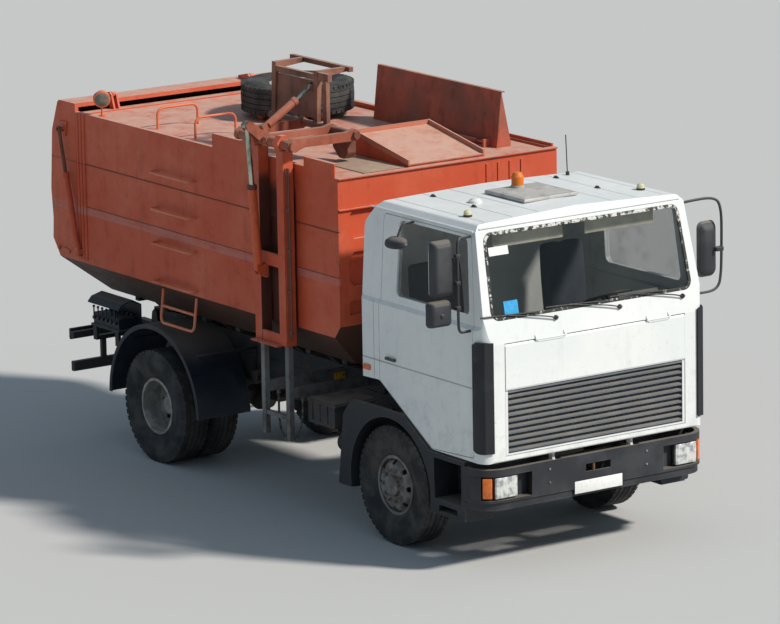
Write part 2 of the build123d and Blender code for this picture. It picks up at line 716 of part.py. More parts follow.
def door_window(inset):
    """Outline of the door's window."""
    points = [(DOOR_REAR + 232, 2292), (DOOR_FRONT - 84, 2292), (DOOR_FRONT - 162, 2972),
              (DOOR_REAR + 246, 2972)]
    face = face_of(points, [60, 60, 60, 60])
    return offset(face, -inset) if inset else face


def through_side(face, side):
    """The outline as a tool that reaches through one side of the cab."""
    span = (1000, 1300) if side > 0 else (-1300, -1000)
    return extrude(Plane.XZ.offset(-span[1]) * face, span[1] - span[0])


def windscreen_tool(inset):
    """Opening of the windscreen as a tool along X."""
    points = [(-1105, 2262), (1105, 2262), (1070, 3018), (-1070, 3018)]
    face = face_of(points, [90, 90, 90, 90])
    if inset:
        face = offset(face, -inset)
    return extrude(Plane.YZ.offset(CAB_FRONT - 430) * face, 500)


def cab_shell(full, hollow):
    """Welded cab: hollow, open under its floor, with door, windscreen and hatch openings."""
    inner = hollow & block((CAB_REAR, CAB_FRONT - POCKET - CAB_WALL), (-1300, 1300), (FLOOR_Z, 2112))
    inner += hollow & block((CAB_REAR, FRONT_X), (-1300, 1300), (2110, 3300))
    shape = full - inner
    front = CAB_FRONT - POCKET - CAB_WALL
    side = CAB_HALF - CAB_WALL
    shape -= block((CAB_REAR + CAB_WALL, front), (-side, side), (900, FLOOR_Z - 45))
    tunnel = CAB_FRONT - 410
    shape += block((CAB_REAR + CAB_WALL - 1, tunnel), (-420, 420), (FLOOR_Z - 46, 1600))
    shape -= block((CAB_REAR + CAB_WALL, tunnel - 40), (-380, 380), (900, 1560))
    pocket = PANEL_HALF + 6
    shape -= block((CAB_FRONT - POCKET, FRONT_X), (-pocket, pocket), (GRILLE_LOW - 6, PANEL_TOP + 4))
    for way in (1, -1):
        shape -= through_side(door_outline(0), way)
        lug = [(TILT_X - 55, TILT_Z + 25), (TILT_X - 55, CAB_LOW + 12), (TILT_X - 2, CAB_LOW + 12),
               (TILT_X - 2, TILT_Z + 25), (TILT_X - 2, TILT_Z), (TILT_X - 30, TILT_Z)]
        ear = slab_xz(lug, sorted((way * (TILT_Y - 14), way * (TILT_Y + 14))))
        ear += rod((TILT_X, way * TILT_Y - 14, TILT_Z), (TILT_X, way * TILT_Y + 14, TILT_Z), 30)
        ear -= rod((TILT_X, way * TILT_Y - 20, TILT_Z), (TILT_X, way * TILT_Y + 20, TILT_Z),
                   TILT_R + RUN)
        shape += ear
    shape -= windscreen_tool(0)
    shape -= block((2360, 2930), (-280, 280), (3000, 3300))
    x, z = PANEL_AXIS
    lug = [(x - 28, z + 10), (x - 28, z + 44), (x - 12, z + 44), (x + 10, z + 12), (x + 10, z - 8),
           (x - 10, z - 8), (x - 10, z + 10)]
    for y0, y1 in PANEL_HINGES:
        shape += slab_xz(lug, (y0, y0 + 18)) + slab_xz(lug, (y1 - 18, y1))
        shape += rod((x, y0, z), (x, y1, z), 5)
    return shape


def strip(start, end, near, far):
    """Thin outline beside a line, set in from it by two depths and run on past its ends."""
    a, b = Vector(*start), Vector(*end)
    along = (b - a).normalized()
    inward = Vector(-along.Y, along.X)
    corners = (a - along * 90 + inward * near, b + along * 90 + inward * near,
               b + along * 90 + inward * far, a - along * 90 + inward * far)
    return [(corner.X, corner.Y) for corner in corners]


def windscreen():
    """Windscreen glass, set in its opening."""
    outline = strip(SCREEN_LINE[0], SCREEN_LINE[1], GLASS_IN, GLASS_IN + GLASS_T)
    return slab_xz(outline, (-1150, 1150)) & windscreen_tool(FIT)


def door(full, hollow, side):
    """Door as thick as the cab's wall, with its window opening."""
    outline = through_side(door_outline(DOOR_GAP), side)
    shape = (full - hollow) & outline
    skirt = block((CAB_REAR, CAB_FRONT), (-CAB_HALF, CAB_HALF), (900, 1500))
    keep = block((CAB_REAR, FRONT_X), sorted((side * (CAB_HALF - CAB_WALL), side * 1300)),
                 (900, 1500))
    shape = (shape - skirt) + ((full & keep & skirt) & outline)
    return shape - through_side(door_window(0), side)


def door_glass(side):
    """Window glass of one door."""
    outline = strip(PILLAR_LINE[0], PILLAR_LINE[1], GLASS_IN, GLASS_IN + GLASS_T)
    shape = slab_yz(outline, (DOOR_REAR, DOOR_FRONT)) & through_side(door_window(FIT), 1)
    return shape if side > 0 else mirrored(shape)


def door_handle(side):
    """Pull handle on the door's skin."""
    y = side * CAB_HALF
    x = DOOR_REAR + 120
    shape = block((x, x + 140), sorted((y - side * 1, y + side * 26)), (1700, 1724))
    return shape - block((x + 24, x + 116), sorted((y - side * 5, y + side * 15)), (1690, 1740))


def lift_panel():
    """Panel above the grille, hinged along its top."""
    span = (CAB_FRONT - 52, CAB_FRONT + 6)
    shape = slab_xz([(span[0], PANEL_LOW), (span[1] - 8, PANEL_LOW), (span[1], PANEL_LOW + 16),
                     (span[1], PANEL_TOP - 22), (span[1] - 14, PANEL_TOP - 6),
                     (span[0], PANEL_TOP - 6)], (-PANEL_HALF, PANEL_HALF))
    shape -= block((span[0] - 1, span[1] - 14), (-PANEL_HALF + 14, PANEL_HALF - 14),
                   (PANEL_LOW + 14, PANEL_TOP - 20))
    x, z = PANEL_AXIS
    for y0, y1 in PANEL_HINGES:
        shape += rod((x, y0 + 20, z), (x, y1 - 20, z), 9)
        shape += block((x - 18, x + 4), (y0 + 20, y1 - 20), (z - 22, z))
        shape -= rod((x, y0 + 10, z), (x, y1 - 10, z), 5 + RUN)
    return shape


def grille():
    """Frame with ten angled slats, in the pocket under the lift panel."""
    back, front = CAB_FRONT - POCKET + FIT, CAB_FRONT - 4
    low, top = GRILLE_LOW, PANEL_LOW - 8
    frame = block((back + 20, front), (-PANEL_HALF, PANEL_HALF), (low, top))
    frame -= block((back, front + 1), (-PANEL_HALF + 26, PANEL_HALF - 26), (low + 16, top - 16))
    frame += block((back, back + 21), (-PANEL_HALF, -PANEL_HALF + 20), (low, top))
    frame += block((back, back + 21), (PANEL_HALF - 20, PANEL_HALF), (low, top))
    slats = 10
    pitch = (top - low - 32) / slats
    for index in range(slats):
        z = low + 16 + pitch * (index + 0.5)
        blade = [(back + 26, z + 16), (back + 26, z + 7), (front - 2, z - 17), (front - 2, z - 3)]
        frame += slab_xz(blade, (-PANEL_HALF + 25, PANEL_HALF - 25))
    for y in (-330, 330):
        frame += block((back + 20, back + 40), (y - 10, y + 10), (low, top))
    return frame


def air_deflectors():
    """Corner vanes beside the grille, each on two stubs."""
    x, y = CAB_FRONT, CAB_HALF
    shape = slab_xy([(x - 110, y + 3), (x - 20, y - 30), (x + 14, y - 100), (x + 18, y - 98),
                     (x - 8, y - 20), (x - 104, y + 16)], (1100, 2090))
    for z in (1250, 1900):
        shape += block((x - 80, x - 40), (y - 70, y - 8), (z, z + 40))
    return both(shape - cab_inset(0))


def dashboard():
    """Dashboard across the cab with the instrument hood and the steering column."""
    front = CAB_FRONT - POCKET - CAB_WALL - FIT
    edge = CAB_FRONT - 405
    side = [(front, 1900), (edge + 65, 1900), (edge, 1980), (edge + 15, 2120), (edge + 85, 2215),
            (front, 2225)]
    shape = slab_xz(side, (-1120, 1120), [0, 30, 30, 40, 40, 0])
    hood = slab_xz([(edge + 25, 2120), (edge + 15, 2235), (edge + 155, 2270), (edge + 225, 2215)],
                   (430, 870))
    shape += hood
    foot, head = column_points()
    shape += rod(foot, head, 34)
    shape += rod((foot[0], foot[1], FLOOR_Z + FIT), (foot[0], foot[1], FLOOR_Z + 70), 52)
    shape += block((edge - 210, edge + 125), (620, 680), (1920, 1985))
    return shape


def column_points():
    """Foot and head of the steering column."""
    return (CAB_FRONT - 390, 650, FLOOR_Z + 40), (CAB_FRONT - 680, 650, 2090)


def steering_wheel():
    """Rim, three spokes and boss, square to the column."""
    foot, head = column_points()
    run = (Vector(*head) - Vector(*foot)).normalized()
    plane = Plane(origin=Vector(*head) + run * FIT, z_dir=run)
    boss = extrude(plane * Circle(48), 60)
    centre = Plane(origin=plane.origin + run * 40, x_dir=plane.x_dir, z_dir=run)
    wheel = centre.location * Torus(225, 15)
    shape = boss + wheel
    for index in range(3):
        spoke = Rot(0, 0, 120 * index + 90) * (Pos(130, 0, -4) * Box(180, 34, 10))
        shape += centre.location * spoke
    return shape


def seats():
    """Driver's seat and the passengers' bench, each a cushion and a back on a plinth."""
    solids = []
    for low, high in ((430, 890), (-1020, -470)):
        y = (low, high)
        plinth = block((2330, 2720), (low + 50, high - 50), (FLOOR_Z + FIT, 1720))
        cushion = slab_xz([(2280, 1715), (2790, 1715), (2800, 1850), (2330, 1830)], y,
                          [30, 40, 60, 20])
        back = slab_xz([(2190, 1800), (2330, 1800), (2260, 2560), (2130, 2560)], y,
                       [30, 20, 60, 60])
        solids.append(plinth + cushion + back)
    return solids


def roof_vent():
    """Raised hatch in the cab roof."""
    shape = block((2345, 2945), (-295, 295), (3126 + FIT, 3155))
    shape = fillet(shape.edges().group_by(Axis.Z)[-1], 16)
    shape += block((2366, 2924), (-274, 274), (3098, 3128))
    return shape


def beacon():
    """Flashing lamp on the roof hatch."""
    shape = rod((2440, 0, 3155 + FIT), (2440, 0, 3172), 62)
    dome = [(0, 0), (55, 0), (55, 80), (38, 118), (0, 126)]
    turned = revolve(Plane.XZ * make_face(Polyline(*dome, close=True)), axis=Axis.Z)
    return shape + Pos(2440, 0, 3171) * turned


def cab_roof_fittings():
    """Two marker lamps near the roof's front corners, a domed cap, the antenna and side markers."""
    shapes = []
    lamp = [(0, 0), (38, 0), (40, 18), (34, 52), (20, 66), (0, 70)]
    turned = revolve(Plane.XZ * make_face(Polyline(*lamp, close=True)), axis=Axis.Z)
    for y in (950, -950):
        shapes.append(Pos(FRONT_AXLE_X + 850, y, CAB_TOP - 44) * turned)
    cap = [(0, 0), (62, 0), (58, 26), (34, 44), (0, 50)]
    turned = revolve(Plane.XZ * make_face(Polyline(*cap, close=True)), axis=Axis.Z)
    shapes.append(Pos(FRONT_AXLE_X + 420, -560, CAB_TOP - 30) * turned)
    shapes.append(rod((CAB_REAR + 330, 860, CAB_TOP - 60), (CAB_REAR + 280, 880, CAB_TOP + 330), 5)
                  + rod((CAB_REAR + 330, 860, CAB_TOP - 50), (CAB_REAR + 328, 861, CAB_TOP), 18))
    for side in (1, -1):
        shapes.append(block((CAB_REAR + 50, CAB_REAR + 150), sorted((side * 1200, side * (CAB_HALF + 16))),
                            (1555, 1600)))
    return [shape - cab_inset(0) for shape in shapes]


def mirrors(side):
    """Rear-view mirrors on a bent tube hoop, fixed to the door's upper frame."""
    x, y = DOOR_FRONT, 1578
    shape = slab_xy([(x - 149, y - 72), (x - 106, y - 66), (x - 90, y), (x - 106, y + 66),
                     (x - 149, y + 72)], (2505, 2975))
    shape += slab_xy([(x - 154, y - 70), (x - 112, y - 62), (x - 98, y), (x - 112, y + 62),
                      (x - 154, y + 70)], (2245, 2480))
    hoop = [(x - 124, 1146, 2992), (x - 79, 1300, 3010), (x - 68, y, 3010), (x - 68, y, 2200),
            (x - 44, 1350, 2180), (x - 28, 1206, 2180)]
    shape += pipe(hoop, 50, 12)
    for z in (2900, 2580, 2360):
        shape += block((x - 124, x - 68), (y - 10, y + 10), (z - 14, z + 14))
    shape += block((x - 144, x - 104), (1137, 1152), (2978, 3000))
    shape += block((x - 44, x - 12), (1196, 1212), (2166, 2186))
    if side < 0:
        kerb = slab_xz([(2300, 2840), (2370, 2868), (2530, 2868), (2600, 2840), (2530, 2806),
                        (2370, 2806)], (1290, 1370))
        kerb += pipe([(2450, 1138, 2990), (2450, 1250, 2990), (2450, 1320, 2850)], 30, 9)
        shape += kerb
    shape = shape - cab_form(0)
    return shape if side > 0 else mirrored(shape)


# Refuse body


def body_section(inset):
    """Cross-section of the refuse body: upright sides on a floor with slanted edges."""
    half = BODY_HALF - inset
    crease = 6 if inset == 0 else 0
    knee = BODY_KNEE + inset * 0.37
    right = [(BODY_FOOT - inset * 0.6, BODY_FLOOR + inset), (half, knee)]
    for z in (2310, 2730):
        if crease:
            right += [(half, z - 7), (half - crease, z), (half, z + 7)]
    right += [(half, SIDE_TOP)]
    left = [(-y, z) for y, z in reversed(right)]
    return make_face(Polyline(*right, *left, close=True))


def body_solid(inset, x):
    """The section as a solid between two places along X."""
    return extrude(Plane.YZ.offset(x[0]) * body_section(inset), x[1] - x[0])


def front_wall_outline(depth):
    """Side view of the front wall: upright, then slanting back under a ledge."""
    front = BODY_FRONT
    return [
        (front, SIDE_TOP + 20), (front, 1862), (WALL_FOOT, BODY_FLOOR - 1),
        (WALL_FOOT - depth, BODY_FLOOR - 1),
        (front - depth, 1885), (front - depth, SIDE_TOP + 20),
    ]


def body_shell():
    """Floor, slanted edges and sides as one welded trough, with flutes and a rear ring."""
    front = BODY_FRONT
    shape = body_solid(0, (BODY_REAR, front)) - body_solid(BODY_WALL, (BODY_REAR - 1, front + 1))
    shape -= block((BODY_REAR - 1, front + 1), (-BODY_HALF + BODY_WALL, BODY_HALF - BODY_WALL),
                   (ROOF_TOP - 200, SIDE_TOP + 10))
    ahead = [(front - FRONT_WALL, SIDE_TOP + 20), (front - FRONT_WALL, 1885),
             (WALL_FOOT - FRONT_WALL, BODY_FLOOR - 1), (WALL_FOOT, 1200), (front + 200, 1200),
             (front + 200, SIDE_TOP + 20)]
    shape -= slab_xz(ahead, (-1300, 1300))
    for x in (BODY_REAR + 40, BODY_REAR + 95, BODY_REAR + 150):
        for y in (BODY_HALF, -BODY_HALF):
            shape += rod((x, y, 1790), (x, y, SIDE_TOP), 20)
    for side in (1, -1):
        start = (GATE_BASE[0], side * (BODY_HALF - 5), GATE_BASE[1])
        shape += rod(start, (GATE_BASE[0], side * (GATE_CYL_Y - 17), GATE_BASE[1]), 32)
        shape += rod(start, (GATE_BASE[0], side * (GATE_CYL_Y + 18), GATE_BASE[1]), 16)
        lug = [(GATE_X - 10, ROOF_TOP - 30), (GATE_X + 90, ROOF_TOP - 30), (GATE_X + 28, GATE_Z + 4),
               (GATE_X, GATE_Z + 28), (GATE_X - 10, GATE_Z + 26)]
        for low in (760, 815):
            shape += slab_xz(lug, sorted((side * low, side * (low + 20))))
        shape += rod((GATE_X, side * 756, GATE_Z), (GATE_X, side * 839, GATE_Z), GATE_R)
    shape += block((BODY_REAR, BODY_REAR + 110), (-BODY_HALF + 30, BODY_HALF - 30),
                   (ROOF_TOP - 60, ROOF_TOP + 12))
    shape += block((-1020, front - 50), (BODY_HALF - 18, BODY_HALF), (SIDE_TOP - 1, SIDE_TOP + 28))
    boards = [
        # rear x, front x, top z
        (-680, -69, BOARD_TOP),
        (-70, 841, BOARD_LOW),
        (840, front - FRONT_WALL, BOARD_TOP),
    ]
    for rear, ahead, top in boards:
        board = [(12 - BODY_HALF, SIDE_TOP - 1), (12 - BODY_HALF, top - 8), (44 - BODY_HALF, top - 8),
                 (44 - BODY_HALF, top), (-BODY_HALF, top), (-BODY_HALF, SIDE_TOP - 1)]
        shape += slab_yz(board, (rear, ahead))
        gusset = [(11 - BODY_HALF, SIDE_TOP - 1), (BODY_WALL - BODY_HALF, SIDE_TOP - 1),
                  (11 - BODY_HALF, top - 7)]
        for x in (rear + 40, ahead - 50):
            shape += slab_yz(gusset, (x, x + 10))
    return shape


def body_front():
    """Front wall with its top beam, two recessed bays and a slot, each with cut corners."""
    wall = slab_xz(front_wall_outline(FRONT_WALL), (-1300, 1300))
    shape = wall & body_solid(0, (WALL_FOOT - 110, BODY_FRONT + 1))
    face = BODY_FRONT - 34
    bays = [
        # low z, high z
        (SIDE_TOP - 567, SIDE_TOP - 297),
        (SIDE_TOP - 1007, SIDE_TOP - 687),
    ]
    cut = 60
    for low, high in bays:
        for edges in ((-1110, -60), (60, 1110)):
            y0, y1 = edges
            bay = [(y0 + cut, low), (y1 - cut, low), (y1, low + cut), (y1, high - cut),
                   (y1 - cut, high), (y0 + cut, high), (y0, high - cut), (y0, low + cut)]
            shape -= slab_yz(bay, (face, BODY_FRONT + 10))
    shape -= block((face, BODY_FRONT + 10), (-1110, 1110),
                   (SIDE_TOP - 1267, SIDE_TOP - 1137))
    shape += block((BODY_FRONT - 1, BODY_FRONT + 22), (-BODY_HALF + 2, BODY_HALF - 2),
                   (SIDE_TOP - 10, SIDE_TOP))
    shape += block((BODY_FRONT - 1, BODY_FRONT + 24), (-BODY_HALF + 2, BODY_HALF - 2),
                   (SIDE_TOP - 294, SIDE_TOP - 284))
    for y in (430, 560, 690, 820):
        shape += block((BODY_FRONT - 1, BODY_FRONT + 9), (y - 14, y + 14), (SIDE_TOP - 240, SIDE_TOP - 60))
    return shape


def hatch_slope(x):
    """Height of the hatch coaming's top at a place along X."""
    share = (x - HATCH_X[1]) / (HATCH_X[0] - HATCH_X[1])
    return HATCH_LOW + share * (HATCH_HIGH - HATCH_LOW)


def hatch_axis(x):
    """Point of the lid's hinge line."""
    return x, HATCH_Y[1] - 6, hatch_slope(x) + 12


def body_roof():
    """Roof plate with the hatch's sloped coaming, the left rail and the spare wheel's cross."""
    inner = BODY_HALF - BODY_WALL - FIT
    low = ROOF_TOP - ROOF_T
    shape = block((BODY_REAR + 110 + FIT, BODY_FRONT - FRONT_WALL - FIT), (-inner, inner),
                  (low, ROOF_TOP))
    x0, x1 = HATCH_X
    y0, y1 = HATCH_Y
    side = [(x0, low), (x1, low), (x1, hatch_slope(x1)), (x0, hatch_slope(x0))]
    shape += slab_xz(side, (y0, y1))
    wall = 14
    shape -= block((x0 + wall, x1 - wall), (y0 + wall, y1 - wall), (low - 10, HATCH_HIGH + 10))
    for x in HATCH_HINGES:
        shape += rod(hatch_axis(x - 66), hatch_axis(x + 66), 5)
        for a, b in ((x - 66, x - 44), (x + 44, x + 66)):
            lug = [(a, hatch_slope(a) - 3), (b, hatch_slope(b) - 3), (b, hatch_slope(b) + 16),
                   (a, hatch_slope(a) + 16)]
            shape += slab_xz(lug, (HATCH_Y[1] - 10.5, HATCH_Y[1]))
    shape += block((BODY_REAR + 120, -1060), (1100, 1150), (ROOF_TOP - 1, ROOF_TOP + 45))
    for x in (BODY_REAR + 810, -700, -60):
        shape += block((x - 35, x + 35), (-inner + 60, 1080), (low - 40, low + 1))
    x, y = SPARE
    top = ROOF_TOP + 50
    shape += block((x - 440, x + 440), (y - 40, y + 40), (top - 40, top))
    shape += block((x - 40, x + 40), (y - 440, y + 440), (top - 40, top))
    for dx, dy in ((290, 0), (-290, 0), (0, 290), (0, -290)):
        shape += rod((x + dx, y + dy, ROOF_TOP - 1), (x + dx, y + dy, top - 39), 30)
    return shape


def hatch_lid():
    """Sloped loading lid with an angle rim on three edges and its hinge rod on the left."""
    x0, x1 = HATCH_X
    y0, y1 = HATCH_Y
    lift = 6
    plate = [(x0 - 12, hatch_slope(x0 - 12) + lift), (x1 + 10, hatch_slope(x1 + 10) + lift),
             (x1 + 10, hatch_slope(x1 + 10) + lift + 12), (x0 - 12, hatch_slope(x0 - 12) + lift + 12)]
    shape = slab_xz(plate, (y0 - 12, y1 - 12))
    rim = [(x, z + 40 if index > 1 else z + 5) for index, (x, z) in enumerate(plate)]
    for y in ((y0 - 12, y0 + 4), (y1 - 28, y1 - 12)):
        shape += slab_xz(rim, y)
    rear = (x0 - 12, x0 + 2)
    shape += block(rear, (y0 - 12, y1 - 12), (hatch_slope(x0) + lift, hatch_slope(x0) + lift + 52))
    for x in HATCH_HINGES:
        shape += rod(hatch_axis(x - 40), hatch_axis(x + 40), 9)
        shape -= rod(hatch_axis(x - 70), hatch_axis(x + 70), 5 + RUN)
    return shape


def deflector():
    """Upright board left of the hatch: folded top, end gussets, stay cylinder along its foot."""
    x0, x1 = -1020, 980
    top = ROOF_TOP + 520
    board = [(830, ROOF_TOP + FIT), (838, ROOF_TOP + FIT), (898, top - 8), (930, top - 8), (930, top),
             (890, top)]
    shape = slab_yz(board, (x0, x1))
    for x, size in ((140, 26), (560, 22), (700, 12)):
        shape += rod((x, 780, ROOF_TOP + 44), (x + 180, 780, ROOF_TOP + 44), size)
    shape += rod((300, 780, ROOF_TOP + 44), (720, 780, ROOF_TOP + 44), 22)
    for x in (130, 870):
        shape += block((x - 12, x + 12), (752, 836), (ROOF_TOP + FIT, ROOF_TOP + 76))
    gusset = [(832, ROOF_TOP + FIT), (990, ROOF_TOP + FIT), (990, ROOF_TOP + 40), (892, top - 6)]
    for x in ((x0, x0 + 10), (x1 - 10, x1)):
        shape += slab_yz(gusset, x)
    shape += block((x0, x1), (830, 900), (ROOF_TOP + FIT, ROOF_TOP + 10))
    return shape


def roof_fittings():
    """Hoop steps and the work lamp's stalk on the roof."""
    shape = None
    for x in (-1890, -1230):
        hoop = pipe([(x, -1050, ROOF_TOP + FIT), (x, -1050, ROOF_TOP + 200), (x, -600, ROOF_TOP + 200),
                     (x, -600, ROOF_TOP + FIT)], 70, 12)
        shape = hoop if shape is None else shape + hoop
    x, y = BODY_REAR + 300, -1100
    lamp = [(0, 0), (52, 8), (66, 40), (66, 62), (58, 70), (0, 70)]
    turned = revolve(Plane.XZ * make_face(Polyline(*lamp, close=True)), axis=Axis.Z)
    shape += rod((x, y, ROOF_TOP + FIT), (x, y, ROOF_TOP + 12), 40)
    shape += rod((x, y, ROOF_TOP + 10), (x, y, ROOF_TOP + 140), 10)
    return shape + Pos(x + 10, y, ROOF_TOP + 185) * Rot(0, -105, 0) * turned


def spare_wheel():
    """Spare tyre and rim, lying flat."""
    middle = ROOF_TOP + 50 + FIT + TYRE_W / 2
    lay = Pos(SPARE[0], SPARE[1], middle) * Rot(-90, 0, 0)
    return lay * tyre(), lay * rim_barrel(128, 1)


def side_ladder():
    """Four grab bars and the bent stirrup step on the right side."""
    shape = None
    y = -BODY_HALF - FIT
    for z in (ROOF_TOP - 350, 2500, 2170, 1800):
        bar = pipe([(-1670, y, z), (-1670, y - 79, z), (-1000, y - 79, z), (-1000, y, z)], 40, 14)
        shape = bar if shape is None else shape + bar
    head, foot = 30 - BODY_HALF, -10 - BODY_HALF
    step = pipe([(-1640, head, 1720), (-1640, foot, 1400), (-1060, foot, 1400),
                 (-1060, head, 1720)], 60, 14)
    step += rod((-1640, foot + 18, 1560), (-1060, foot + 18, 1560), 14)
    shape += step - body_solid(0, (-1800, -900))
    return shape


def body_subframe():
    """Two longitudinal beams with cross bolsters under the floor, and the tipping lug."""
    beam = [(900, RAIL_TOP + 6), (TIP_X, RAIL_TOP + 6), (TIP_X - 45, RAIL_TOP + 20), (TIP_X - 45, 1205),
            (900, 1205)]
    shape = both(slab_xz(beam, (355, 425)))
    eye = TIPPING_EYE
    ahead, behind = (780 - eye[0]) / 3, (eye[0] - TIP_X - 220) / 3
    places = [eye[0] + ahead * step for step in (3, 2, 1, 0)] + [eye[0] - behind * step for step in (1, 2, 3)]
    for x in places:
        bolster = [(-780, BODY_FLOOR - FIT), (780, BODY_FLOOR - FIT), (780, 1355), (620, 1355),
                   (440, 1200), (-440, 1200), (-620, 1355), (-780, 1355)]
        shape += slab_yz(bolster, (x - 35, x + 35))
    shape -= both(rod((TIP_X, 340, TIP_Z), (TIP_X, 440, TIP_Z), TIP_R + RUN))
    for y in ((-64, -46), (46, 64)):
        shape += slab_xz([(eye[0] - 60, 1205), (eye[0] - 42, eye[1] - 10), (eye[0], eye[1] - 42),
                          (eye[0] + 42, eye[1] - 10), (eye[0] + 60, 1205)], y)
    return shape


def tailgate():
    """Bulged rear door, hollow and open to the body, with hinge arms and cylinder brackets."""
    rear = REAR_X
    front = BODY_REAR - 5
    outline = [
        (front, BODY_FLOOR), (rear + 385, BODY_FLOOR), (rear + 134, 1756), (rear + 12, 1917),
        (rear + 26, 2120), (rear, 2400), (rear + 48, ROOF_TOP - 210), (rear + 172, ROOF_TOP + 100),
        (front, ROOF_TOP + 100),
    ]
    radii = [0, 20, 30, 20, 20, 300, 200, 60, 0]
    wall = BODY_WALL
    inner = [
        (front + 10, BODY_FLOOR + wall), (rear + 405, BODY_FLOOR + wall), (rear + 166, 1785),
        (rear + 60, 1930), (rear + 66, 2110), (rear + wall, 2400), (rear + 87, ROOF_TOP - 225),
        (rear + 200, ROOF_TOP + 100 - wall), (front + 10, ROOF_TOP + 100 - wall),
    ]
    inner_radii = [0, 20, 30, 20, 20, 260, 160, 40, 0]
    form = tailgate_form(0)
    cavity = tailgate_form(wall)
    shape = slab_xz(outline, (-BODY_HALF, BODY_HALF), radii) & form
    shape -= slab_xz(inner, (-BODY_HALF, BODY_HALF), inner_radii) & cavity
    for side in (1, -1):
        arm = [(rear + 300, ROOF_TOP + 90), (GATE_X - 36, ROOF_TOP + 90), (GATE_X + 20, GATE_Z - 20),
               (GATE_X + 20, GATE_Z + 20), (GATE_X - 20, GATE_Z + 26), (rear + 300, ROOF_TOP + 130)]
        lug = slab_xz(arm, sorted((side * 784, side * 811)))
        lug += rod((GATE_X, side * 784, GATE_Z), (GATE_X, side * 811, GATE_Z), 28)
        shape += lug
        shape -= rod((GATE_X, side * 780, GATE_Z), (GATE_X, side * 815, GATE_Z), GATE_R + RUN)
        shape += rod((GATE_EYE[0], side * (BODY_HALF - 5), GATE_EYE[1]),
                     (GATE_EYE[0], side * (GATE_CYL_Y - 21), GATE_EYE[1]), 28)
        plate = [(rear + 200, ROOF_TOP - 100), (rear + 350, ROOF_TOP - 100), (rear + 310, ROOF_TOP - 240),
                 (rear + 230, ROOF_TOP - 240)]
        face = sorted((side * (BODY_HALF - 1), side * (BODY_HALF + 14)))
        shape += slab_xz(plate, face)
        latch = [(rear + 210, 1800), (rear + 330, 1808), (rear + 330, 1836), (rear + 210, 1850),
                 (rear + 170, 1825)]
        shape += slab_xz(latch, face)
        shape += rod((rear + 125, side * (BODY_HALF - 1), 1840), (rear + 125, side * (BODY_HALF + 16), 1840), 22)
    return shape


def tailgate_form(inset):
    """Section of the tailgate, as the body's but up to its own roof."""
    half = BODY_HALF - inset
    foot = BODY_FOOT - inset * 0.6
    right = [(foot, BODY_FLOOR + inset), (half, BODY_KNEE + inset * 0.37),
             (half, ROOF_TOP + 110 - inset)]
    left = [(-y, z) for y, z in reversed(right)]
    return slab_yz(right + left, (REAR_X - 10, BODY_REAR + 10))


# Hydraulic cylinders: each is a barrel with a base eye and a rod with a head eye


def hydraulic(base, eye, across, sizes):
    """Barrel and rod between two pins. across is the pins' direction, sizes is a dict."""
    a, b = Vector(*base), Vector(*eye)
    run = (b - a).normalized()
    reach = (b - a).length
    pin = Vector(*across)
    half = sizes["width"] / 2

    def ring(centre, outer):
        start = centre - pin * half
        return rod(start, (start + pin * (2 * half)), outer)

    barrel = ring(a, sizes["base_r"])
    barrel += rod(a, (a + run * sizes["barrel"]), sizes["barrel_r"])
    side = [rod((a + pin * s * half), (a + pin * s * (half + 200)),
                sizes["base_r"] + 30) for s in (1, -1)]
    barrel = barrel - side[0] - side[1]
    barrel += rod((a + run * (sizes["base_r"] + 34)),
                  (a + run * sizes["barrel"]), sizes["barrel_r"])
    barrel += rod((a + run * (sizes["barrel"] - 40)),
                  (a + run * sizes["barrel"]), sizes["barrel_r"] + 5)
    barrel -= rod((a + run * sizes["bore_from"]),
                  (a + run * (sizes["barrel"] + 1)), sizes["rod_r"] + RUN)
    barrel -= rod((a - pin * 300), (a + pin * 300), sizes["pin_r"] + RUN)
    bar = rod((a + run * sizes["rod_from"]), (b - run * 5), sizes["rod_r"])
    bar += ring(b, sizes["eye_r"])
    bar -= rod((b - pin * 300), (b + pin * 300), sizes["pin_r"] + 1)
    return barrel, bar


def tipping_cylinder():
    """Cylinder between the frame and the body's floor."""
    sizes = {"width": 88, "base_r": 50, "barrel": 1180, "barrel_r": 66, "rod_r": 42,
             "eye_r": 50, "pin_r": 25, "bore_from": 240, "rod_from": 300}
    base, eye = TIPPING_BASE, TIPPING_EYE
    return hydraulic((base[0], 0, base[1]), (eye[0], 0, eye[1]), (0, 1, 0), sizes)


def gate_cylinders():
    """Pair of cylinders that lift the tailgate, one on each side."""
    sizes = {"width": 30, "base_r": 34, "barrel": 790, "barrel_r": 30, "rod_r": 18,
             "eye_r": 30, "pin_r": 16, "bore_from": 120, "rod_from": 160}
    barrels, rods = [], []
    for side in (1, -1):
        y = side * GATE_CYL_Y
        barrel, bar = hydraulic((GATE_BASE[0], y, GATE_BASE[1]), (GATE_EYE[0], y, GATE_EYE[1]),
                                (0, 1, 0), sizes)
        barrels.append(barrel)
        rods.append(bar)
    return barrels, rods


def lift_cylinder():
    """Cylinder on the mast that swings the arm."""
    sizes = {"width": 52, "base_r": 40, "barrel": 800, "barrel_r": 40, "rod_r": 24,
             "eye_r": 40, "pin_r": 18, "bore_from": 130, "rod_from": 560}
    return hydraulic((LIFT_X, *LIFT_BASE), (LIFT_X, *LIFT_EYE), (1, 0, 0), sizes)


def tilt_cylinder():
    """Cylinder on the arm that tilts the gripper."""
    sizes = {"width": 40, "base_r": 32, "barrel": 430, "barrel_r": 36, "rod_r": 19,
             "eye_r": 28, "pin_r": 14, "bore_from": 100, "rod_from": 120}
    return hydraulic((TILT_CYL_X, *TILT_BASE), (TILT_CYL_X, *TILT_EYE), (1, 0, 0), sizes)


# Loader


